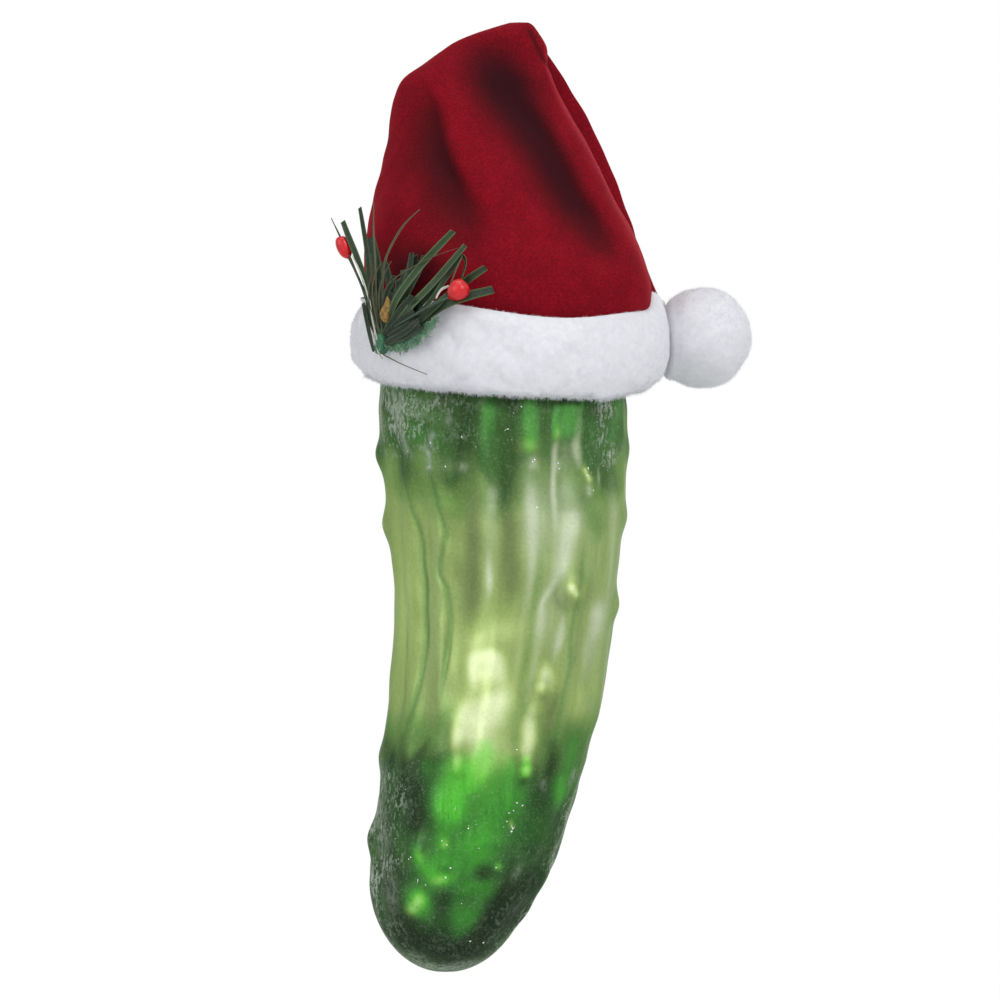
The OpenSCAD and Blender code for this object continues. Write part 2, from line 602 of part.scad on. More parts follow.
// Leaves are flat ovals with a point
leaf_power = 0.8;
function leaf_outline(side) = [for (k = [0 : 2 * blade_steps])
    let (t = k / (2 * blade_steps))
    [side * leaf_width / 2 * pow(sin(180 * pow(t, leaf_power)), leaf_power), leaf_length * t]];
module leaf(angle) {
    left = leaf_outline(-1);
    right = leaf_outline(1);
    rotate([0, angle, 0]) translate([0, needle_t / 2, stem_r]) rotate([90, 0, 0])
        linear_extrude(height = needle_t) polygon(concat(
            [for (k = [1 : 2 * blade_steps - 1]) right[k]], [[0, leaf_length]],
            [for (k = [2 * blade_steps - 1 : -1 : 1]) left[k]], [[0, 0]]));
}
module leaf_front() {
    color("#2c6b35") in_layer(-3, stem_low_z + stem_height / 3) leaf(66);
}
module leaf_back() {
    color("#16301f") in_layer(1) leaf(24);
}

// Rows: shares of the radius and of the height
stem_shares = [[0, 0], [0.8, 0], [1, 0.1], [1, 0.85], [0.85, 1], [0, 1]];

module stem_wrap() {
    color("#27472f") translate([sprig_x, sprig_y, stem_low_z])
        rotate_extrude($fn = hole_fn)
            polygon([for (row = stem_shares) [row[0] * stem_r, row[1] * stem_height]]);
}

// The glue pad fills the gap between the cuff and the stem
module sprig_glue() {
    color("#e6dfc8") translate([cuff_lean_x, 0, stem_low_z + stem_height / 2]) rotate([0, 0, -sprig_angle])
        rotate([90, 0, 0]) translate([0, 0, cuff_r + glue_seat])
            cylinder(r = glue_pad_r, h = glue_pad_t, $fn = hole_fn);
}

// Berries hang on fine wires that leave the root between the needle layers
berry_r = berry_d / 2;
left_berry_shares = [0.72, 1.05];
left_wire_angle = -27;
left_wire_lean = 6;
left_wire_length = 10;
right_wire_angle = 68;
right_wire_lean = 9;
right_wire_length = 9.9;
wire_layer = -1;
berry_seat = 0.05;

module on_wire(angle, lean) {
    in_layer(wire_layer) translate([sign(angle) * berry_wire_d, 0, 0])
        rotate([0, angle, 0]) rotate([lean, 0, 0]) children();
}
module berry_wire(length) {
    cylinder(r = berry_wire_d / 2, h = length, $fn = small_fn);
}
module berry_wire_left() {
    color("#c9c6b8") on_wire(left_wire_angle, left_wire_lean) berry_wire(left_wire_length);
}
module berry_wire_right() {
    color("#c9c6b8") on_wire(right_wire_angle, right_wire_lean) berry_wire(right_wire_length);
}
// An egg shape standing on the wire's end
egg_steps = 20;
egg_taper = 0.12;
module egg(width, height) {
    rotate_extrude($fn = berry_fn) polygon([for (k = [0 : egg_steps])
        let (a = k * 180 / egg_steps)
        [width / 2 * sin(a) * (1 + egg_taper * cos(a)), height / 2 * (1 - cos(a))]]);
}
module berry_left() {
    color("#c8141d") on_wire(left_wire_angle, left_wire_lean) translate([0, 0, left_wire_length + berry_seat])
        egg(berry_d * left_berry_shares[0], berry_d * left_berry_shares[1]);
}
module berry_right() {
    color("#d3161f") on_wire(right_wire_angle, right_wire_lean)
        translate([0, 0, right_wire_length + berry_seat + berry_r]) sphere(r = berry_r, $fn = berry_fn);
}

scale_width = 1.05;
scale_length = 3.1;
module cone_scale() {
    color("#7a5a2c") in_layer(-4) translate([stem_r / 2, 0, root_sink]) egg(scale_width, scale_length);
}

// A stray strand lies down the cuff from the foot of the stem
strand_angle = 118;
strand_length = 7;
strand_r = 0.15;
module loose_strand() {
    color("#b9b48a") in_layer(-3, stem_low_z + strand_r * 2) rotate([0, strand_angle, 0])
        cylinder(r = strand_r, h = strand_length, $fn = small_fn);
}

glass_body();
neck_cap();
hanger_wire();
hat_crown();
hat_tail();
hat_cuff();
hat_glue();
seam_stitches();
hem_thread();
pompom();
pompom_thread();
stem_wrap();
sprig_glue();
broad_needles();
short_needles();
fine_needles();
leaf_front();
leaf_back();
cone_scale();
berry_left();
berry_right();
berry_wire_left();
berry_wire_right();
loose_strand();
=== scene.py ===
"""Glass pickle ornament in a velvet hat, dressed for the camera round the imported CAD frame.
Metres, +Z up, the front towards -Y. Forms are worked out in millimetres and placed in metres."""
import math

import bpy
import numpy as np
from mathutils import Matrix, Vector


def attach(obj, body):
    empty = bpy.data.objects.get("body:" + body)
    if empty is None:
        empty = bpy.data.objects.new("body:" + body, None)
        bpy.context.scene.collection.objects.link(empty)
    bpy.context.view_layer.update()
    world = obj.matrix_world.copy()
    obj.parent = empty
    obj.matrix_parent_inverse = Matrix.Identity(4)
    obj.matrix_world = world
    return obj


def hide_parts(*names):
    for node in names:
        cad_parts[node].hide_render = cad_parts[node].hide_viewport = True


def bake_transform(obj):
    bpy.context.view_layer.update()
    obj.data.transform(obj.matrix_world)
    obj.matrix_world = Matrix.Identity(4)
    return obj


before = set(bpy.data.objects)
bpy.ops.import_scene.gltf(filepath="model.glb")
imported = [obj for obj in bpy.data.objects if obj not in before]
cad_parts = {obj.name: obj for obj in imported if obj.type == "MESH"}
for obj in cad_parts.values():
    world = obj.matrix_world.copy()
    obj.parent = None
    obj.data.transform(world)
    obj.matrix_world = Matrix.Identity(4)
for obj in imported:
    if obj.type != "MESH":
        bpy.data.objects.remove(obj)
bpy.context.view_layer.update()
MM = 0.001

# ---------------------------------------------------------------- camera
# What the photograph takes in at the ornament's depth: its width and its centre's x and z, in mm
PHOTO_WIDTH = 134.0
PHOTO_CENTRE = (-0.335, -42.57)
LENS, SENSOR = 250.0, 36.0
camera_data = bpy.data.cameras.new("photo_camera")
camera_data.lens = LENS
camera_data.sensor_width = SENSOR
camera_data.clip_start, camera_data.clip_end = 0.05, 20.0
camera = bpy.data.objects.new("photo_camera", camera_data)
bpy.context.scene.collection.objects.link(camera)
camera.location = (PHOTO_CENTRE[0] * MM, -PHOTO_WIDTH * MM * LENS / SENSOR, PHOTO_CENTRE[1] * MM)
camera.rotation_euler = (math.radians(90), 0, 0)
bpy.context.scene.camera = camera


# ---------------------------------------------------------------- shared shape tools
def deselect():
    if bpy.context.mode != "OBJECT":
        bpy.ops.object.mode_set(mode="OBJECT")
    bpy.ops.object.select_all(action="DESELECT")


def activate(obj):
    deselect()
    obj.select_set(True)
    bpy.context.view_layer.objects.active = obj


def spline(table, t):
    """Smooth curve through the rows of a table; t runs from 0 to the last row's index."""
    table = np.asarray(table, float)
    last = len(table) - 1
    t = np.asarray(t, float)
    i = np.clip(np.floor(t).astype(int), 0, last - 1)
    f = (t - i)[..., None]
    a, b, c, d = (table[np.clip(i + k, 0, last)] for k in (-1, 0, 1, 2))
    return (2 * b + (c - a) * f + (2 * a - 5 * b + 4 * c - d) * f ** 2 + (3 * b - a - 3 * c + d) * f ** 3) / 2


def row_index(keys, value):
    """Index, with its fraction, of a value in a rising list."""
    return np.interp(value, keys, np.arange(len(keys)))


def soft_step(a, b, x):
    t = np.clip((x - a) / (b - a), 0, 1)
    return t * t * (3 - 2 * t)


def window(a, b, c, d, x):
    """Rises from a to b and falls again from c to d."""
    return soft_step(a, b, x) * (1 - soft_step(c, d, x))


def bell(x):
    return np.exp(-np.square(x) / 2)


def circle(count):
    """Angles all the way round."""
    return np.arange(count) * 2 * np.pi / count


def swell(points, wavelength, seed):
    """Soft random waves, about -1 to 1, of one wavelength in mm; wavelength may have one value for each axis."""
    count = 9
    waves = np.random.RandomState(seed)
    way = waves.normal(size=(count, 3))
    way /= np.linalg.norm(way, axis=1)[:, None]
    pitch = 2 * np.pi / (np.broadcast_to(wavelength, 3) * waves.uniform(0.75, 1.35, size=(count, 1)))
    phase = waves.uniform(0, 2 * np.pi, count)
    return np.sin(np.asarray(points) @ (way * pitch).T + phase).sum(-1) / math.sqrt(count) / 1.2


def on_whole_mesh(*steps):
    """Runs operators, each with its settings, on the whole mesh of the active object."""
    bpy.ops.object.mode_set(mode="EDIT")
    bpy.ops.mesh.select_all(action="SELECT")
    for operator, settings in steps:
        operator(**settings)
    bpy.ops.object.mode_set(mode="OBJECT")


OUTWARD = (bpy.ops.mesh.normals_make_consistent, {"inside": False})


def lofted(name, rings, marks=None):
    """A grid primitive laid over rings of points in mm, closed round each ring, with its doubles merged.
    marks are point attributes of the same layout."""
    rings = np.asarray(rings, float)
    rings = np.concatenate([rings, rings[:, :1]], axis=1)
    marks = {k: np.concatenate([m, m[:, :1]], axis=1) for k, m in (marks or {}).items()}
    rows, columns = rings.shape[0] - 1, rings.shape[1] - 1
    deselect()
    bpy.ops.mesh.primitive_grid_add(x_subdivisions=columns, y_subdivisions=rows, size=1)
    obj = bpy.context.object
    obj.name = obj.data.name = name
    mesh = obj.data
    co = np.empty(len(mesh.vertices) * 3)
    mesh.vertices.foreach_get("co", co)
    co = co.reshape(-1, 3)
    column = np.rint((co[:, 0] + 0.5) * columns).astype(int)
    row = np.rint((co[:, 1] + 0.5) * rows).astype(int)
    mesh.vertices.foreach_set("co", (rings[row, column] * MM).ravel())
    for key, mark in marks.items():
        attribute = mesh.attributes.new(key, "FLOAT", "POINT")
        attribute.data.foreach_set("value", np.asarray(mark, float)[row, column].astype(np.float32))
    on_whole_mesh((bpy.ops.mesh.remove_doubles, {"threshold": 1e-7}), OUTWARD)
    bpy.ops.object.shade_smooth()
    return obj


def copies(obj, name, points, faces):
    """Fills an object with copies of one small form: points in mm, a row of them for each copy."""
    count, corners = points.shape[:2]
    obj.data.clear_geometry()
    obj.data.from_pydata((points.reshape(-1, 3) * MM).tolist(), [],
                         [tuple(i * corners + v for v in f) for i in range(count) for f in faces])
    obj.data.update()
    obj.name = obj.data.name = name
    return obj


def apply_modifier(obj, kind, **settings):
    activate(obj)
    modifier = obj.modifiers.new(kind.title(), kind)
    for key, value in settings.items():
        setattr(modifier, key, value)
    bpy.ops.object.modifier_apply(modifier=modifier.name)


def joined(name, pieces):
    deselect()
    for piece in pieces:
        piece.select_set(True)
    bpy.context.view_layer.objects.active = pieces[0]
    bpy.ops.object.join()
    obj = bpy.context.object
    obj.name = obj.data.name = name
    return obj


def capped(rings):
    """Rings with a point at each end."""
    rings = np.asarray(rings, float)
    first = np.repeat(rings[:1].mean(1, keepdims=True), rings.shape[1], axis=1)
    last = np.repeat(rings[-1:].mean(1, keepdims=True), rings.shape[1], axis=1)
    return np.concatenate([first, rings, last])


def unit(v):
    v = np.asarray(v, float)
    return v / np.maximum(np.linalg.norm(v, axis=-1, keepdims=True), 1e-12)


def leaned(points, angle):
    """Points turned about the Y axis."""
    c, s = math.cos(angle), math.sin(angle)
    return points @ np.array([[c, 0, s], [0, 1, 0], [-s, 0, c]]).T


def strand_rings(path, radius):
    """Rings of a thin eight-sided tube along a path in mm; radius may change along it."""
    path = np.asarray(path, float)
    tangent = unit(np.gradient(path, axis=0))
    side = np.array([0.0, 1.0, 0.0])
    if abs(tangent[0] @ side) > 0.9:
        side = np.array([1.0, 0.0, 0.0])
    rings = []
    a = circle(8)
    for p, t, r in zip(path, tangent, np.broadcast_to(radius, len(path))):
        side = unit(side - t * (side @ t))
        up = np.cross(t, side)
        rings.append(p + r * (np.cos(a)[:, None] * side + np.sin(a)[:, None] * up))
    return capped(rings)


def smooth_path(points, count):
    return spline(points, np.linspace(0, len(points) - 1, count))


# ---------------------------------------------------------------- material tools
def srgb(code):
    """An sRGB hex colour as linear values."""
    values = [int(code[i:i + 2], 16) / 255 for i in (1, 3, 5)]
    return tuple(v / 12.92 if v <= 0.04045 else ((v + 0.055) / 1.055) ** 2.4 for v in values) + (1.0,)


# What a kind of node has here unless a call says otherwise: its fields, and the output that is used
USUAL_FIELDS = {"Mix": {"data_type": "RGBA"}}
USUAL_OUTPUT = {"Mix": 2, "Attribute": "Fac", "TexCoord": "Object"}


def add(owner, kind, inputs=None, stops=None, out=None, **fields):
    """Adds a node to a material or to the world and gives back an output of it. An input is a value, a hex colour
    or another node's output; stops are a colour ramp's places, each with a hex colour or a grey."""
    node = owner.node_tree.nodes.new("ShaderNode" + kind)
    for key, value in {**USUAL_FIELDS.get(kind, {}), **fields}.items():
        setattr(node, key, value)
    for key, value in (inputs or {}).items():
        if isinstance(value, bpy.types.NodeSocket):
            owner.node_tree.links.new(value, node.inputs[key])
        else:
            node.inputs[key].default_value = srgb(value) if isinstance(value, str) else value
    if stops:
        elements = node.color_ramp.elements
        while len(elements) < len(stops):
            elements.new(0.5)
        for element, (place, tone) in zip(elements, stops):
            element.position = place
            element.color = srgb(tone) if isinstance(tone, str) else (tone, tone, tone, 1)
    return node.outputs[USUAL_OUTPUT.get(kind, 0) if out is None else out] if node.outputs else None


def new_material(name):
    material = bpy.data.materials.new(name)
    material.use_nodes = True
    material.node_tree.nodes.clear()
    return material


def grain(m, size_mm, detail=3.0, roughness=0.55, stretch=None):
    """A noise whose grain is counted in millimetres of the piece, and may be stretched one way. A pixel of the
    photograph is 0.13 mm, so what is finer is drawn as coarse as it needs to show."""
    place = add(m, "Mapping", {"Scale": (1000, 1000, 1000), "Vector": add(m, "TexCoord")})
    if stretch:
        place = add(m, "Mapping", {"Scale": stretch, "Vector": place})
    return add(m, "TexNoise", {"Scale": 1 / size_mm, "Detail": detail, "Roughness": roughness, "Vector": place})


def laid(m, colour, paint, share, stops=None, most=None):
    """Lays a paint over a colour, as much as a share says, graded by stops and times most."""
    if stops:
        share = add(m, "ValToRGB", {0: share}, stops)
    if most is not None:
        share = add(m, "Math", {0: share, 1: most}, operation="MULTIPLY")
    return add(m, "Mix", {0: share, 6: colour, 7: paint})


def seen_straight(owner):
    """1 where the eye's ray comes straight, off a gloss or through a clear piece."""
    rays = add(owner, "LightPath").node.outputs
    seen = add(owner, "Math", {0: rays["Is Camera Ray"], 1: rays["Is Glossy Ray"]}, operation="MAXIMUM")
    return add(owner, "Math", {0: seen, 1: rays["Is Transmission Ray"]}, operation="MAXIMUM")


def finish_material(m, inputs):
    add(m, "OutputMaterial", {"Surface": add(m, "BsdfPrincipled", inputs)})
    return m


def wear(obj, material):
    """Every slot of a piece gets one material."""
    if not obj.data.materials:
        obj.data.materials.append(material)
    for i in range(len(obj.data.materials)):
        obj.data.materials[i] = material


# ---------------------------------------------------------------- glass
# The forms repeat part.scad's own values; the tables count shares as it does
GLASS_LENGTH, GLASS_D, GLASS_WALL = 91.5, 33.2, 0.9
NECK_R, NECK_INNER_R = 5.6, 4.7
SHOULDER_Z, RIM_Z = -14.3043, -7.9043
TURN_SHARE = 12.8 / GLASS_LENGTH
# Share of the length, the middle's way to the right in glass widths, and girth
GLASS_ROWS = np.array([
    [TURN_SHARE, 0, 1], [0.22, 0.004, 0.98], [0.31, 0.012, 0.946], [0.46, 0.012, 0.885], [0.6, -0.026, 0.85],
    [0.69, -0.072, 0.82], [0.75, -0.109, 0.8], [0.81, -0.146, 0.78], [0.87, -0.18, 0.76],
    [0.93, -0.215, 0.74], [1, -0.228, 0.72]])
# Angle, depth and width in degrees
BROAD_FURROWS = [[-64, 1, 5], [-42, 1, 5], [-14, 0.8, 7], [12, 0.9, 6], [31, 1, 6], [55, 0.9, 7], [88, 0.8, 8],
                 [124, 1, 7], [158, 0.9, 7], [196, 1, 7], [232, 0.8, 7], [264, 0.9, 7]]
# Warts: share of the length, angle and height of each
WARTS = [
    [0.243, -88, 1], [0.347, -86, 0.9], [0.682, -86, 0.8], [0.804, -84, 0.7], [0.233, 87, 0.5], [0.334, 87, 0.65],
    [0.464, 86, 0.8], [0.62, 87, 0.3], [0.28, 44, 0.9], [0.44, 36, 1], [0.596, 25, 0.9], [0.701, 25, 0.9],
    [0.82, -30, 0.6], [0.88, -22, 0.6], [0.84, 30, 0.5], [0.3, 140, 0.9], [0.52, 160, 0.9], [0.68, 200, 0.8],
    [0.4, 215, 0.9], [0.78, 150, 0.7], [0.57, -125, 0.7], [0.25, 190, 0.8]]
# Creases pressed in by the mould: the strength of each, then share of the length and angle along it
CREASES = [
    (1, [
        [0.164, -58.4], [0.2, -57.8], [0.236, -56.8], [0.265, -56.6], [0.294, -54.7], [0.319, -53.3],
        [0.347, -49.4], [0.371, -47.8], [0.399, -47.9], [0.428, -46.4], [0.461, -46.6], [0.512, -45.6],
        [0.552, -46.5], [0.584, -48.5], [0.616, -51.7], [0.657, -54.7]]),
    (0.9, [
        [0.201, -38.7], [0.237, -38.4], [0.268, -38.2], [0.292, -36.5], [0.316, -34.7], [0.338, -32.2],
        [0.361, -30.8], [0.381, -32.9], [0.399, -35], [0.417, -35.4], [0.436, -32], [0.458, -30.5], [0.485, -29.2],
        [0.514, -29.5], [0.547, -30.2], [0.598, -31.7]]),
    (0.65, [
        [0.374, 17.8], [0.398, 17], [0.424, 16.1], [0.453, 14.8], [0.482, 14.1], [0.514, 14.3], [0.551, 13.2],
        [0.583, 11.7], [0.615, 10.8], [0.663, 11.1]]),
    (0.75, [
        [0.374, 42.2], [0.417, 41.2], [0.454, 39.3], [0.485, 38.2], [0.519, 38.8], [0.552, 40.2], [0.587, 39.5],
        [0.616, 39.3], [0.649, 40.1], [0.688, 40.9]]),
    (0.5, [
        [0.222, 50.3], [0.258, 52.3], [0.294, 54.4], [0.331, 59.1]]),
    (1, [
        [0.14, 118], [0.3, 124], [0.4, 119], [0.52, 126], [0.64, 121], [0.76, 127]]),
    (0.8, [
        [0.14, 150], [0.26, 143], [0.38, 151], [0.5, 146], [0.6, 152], [0.7, 147]]),
    (0.6, [
        [0.16, 188], [0.3, 194], [0.42, 187], [0.55, 193], [0.68, 189]]),
    (1, [
        [0.14, 222], [0.26, 216], [0.37, 224], [0.48, 217], [0.6, 223], [0.74, 219]]),
    (0.8, [
        [0.15, 252], [0.3, 257], [0.45, 249], [0.58, 256], [0.72, 251]]),
]
# How far a crease spreads in degrees, how far a wart and a spot do in mm, and how deep grooves and creases lie
CREASE_SPREAD, WART_SPREAD, SPOT_SPREAD = 1.35, 1.55, 1.1
GROOVE_DEPTH, CREASE_DEPTH = 0.42, 0.19
# How much fuller than its solid the glass stands below the shoulder
FULLNESS = 0.42


def turned(a):
    """An angle brought to -180 to 180."""
    return (a + 540) % 360 - 180


def glass_row(s):
    s = np.maximum(s, TURN_SHARE)
    return spline(GLASS_ROWS, row_index(GLASS_ROWS[:, 0], s))


def tip_factor(s):
    t = np.maximum(s - 0.7, 0) / 0.3
    return np.sqrt(np.maximum(1 - t ** 3.15, 0))


def shoulder_factor(s):
    start = math.sqrt(1 - (NECK_R / (GLASS_D / 2)) ** 2)
    u = start * np.maximum(1 - s / TURN_SHARE, 0)
    return np.sqrt(1 - u * u)


def crease_at(s, angle):
    total = np.zeros(np.broadcast(s, angle).shape)
    for strength, table in CREASES:
        table = np.array(table)
        line = spline(table, row_index(table[:, 0], s))[..., 1]
        ends = window(table[0, 0] - 0.02, table[0, 0] + 0.03, table[-1, 0] - 0.05, table[-1, 0] + 0.02, s)
        total = np.maximum(total, strength * ends * bell(turned(angle - line) / CREASE_SPREAD))
    return total


def glass_point(s, angle, inset=0.0, rough=1.0):
    """Points of the glass at shares of its length and angles from the front towards the right, and their warts."""
    s, angle = np.broadcast_arrays(np.asarray(s, float), np.asarray(angle, float))
    row = glass_row(s)
    r = GLASS_D / 2 * row[..., 2] * tip_factor(s) * shoulder_factor(s)
    fade = rough * window(0.06, 0.16, 0.9, 0.98, s)
    wander = 5 * np.sin(np.radians(540 * s + 40))
    groove = np.max([g[1] * bell(turned(angle - g[0] - wander) / g[2]) for g in BROAD_FURROWS], axis=0)
    wart = np.zeros(s.shape)
    for w in WARTS:
        across = np.radians(turned(angle - w[1])) * r
        wart = np.maximum(wart, w[2] * bell(np.hypot(across, (s - w[0]) * GLASS_LENGTH) / WART_SPREAD))
    a = np.radians(angle)
    flat = np.stack([r * np.sin(a), -r * np.cos(a), -s * GLASS_LENGTH], axis=-1)
    ripple = 0.16 * swell(flat, (5, 5, 26), 4) + 0.07 * swell(flat, (2.2, 2.2, 7), 5)
    # Towards the tip the mould leaves short lumps instead of long furrows
    lumps = 0.2 * soft_step(0.66, 0.8, s) * swell(flat, (5, 5, 5.5), 6)
    # The warts that show in outline stand higher than the ones on the face
    side = soft_step(0.78, 0.97, np.abs(np.sin(np.radians(angle))))
    bump = fade * ((0.5 + 0.4 * side) * wart - GROOVE_DEPTH * groove - CREASE_DEPTH * crease_at(s, angle)
                   + ripple + lumps)
    bump = bump + FULLNESS * soft_step(0.14, 0.18, s) * (1 - 0.5 * soft_step(0.24, 0.6, s)) * np.sign(rough)
    reach = np.maximum(r + bump - inset, NECK_INNER_R / 8)
    return np.stack([row[..., 1] * GLASS_D + reach * np.sin(a),
                     -reach * np.cos(a) * (1 - 0.05 * soft_step(0, TURN_SHARE, s)),
                     SHOULDER_Z - s * GLASS_LENGTH], axis=-1), wart * fade


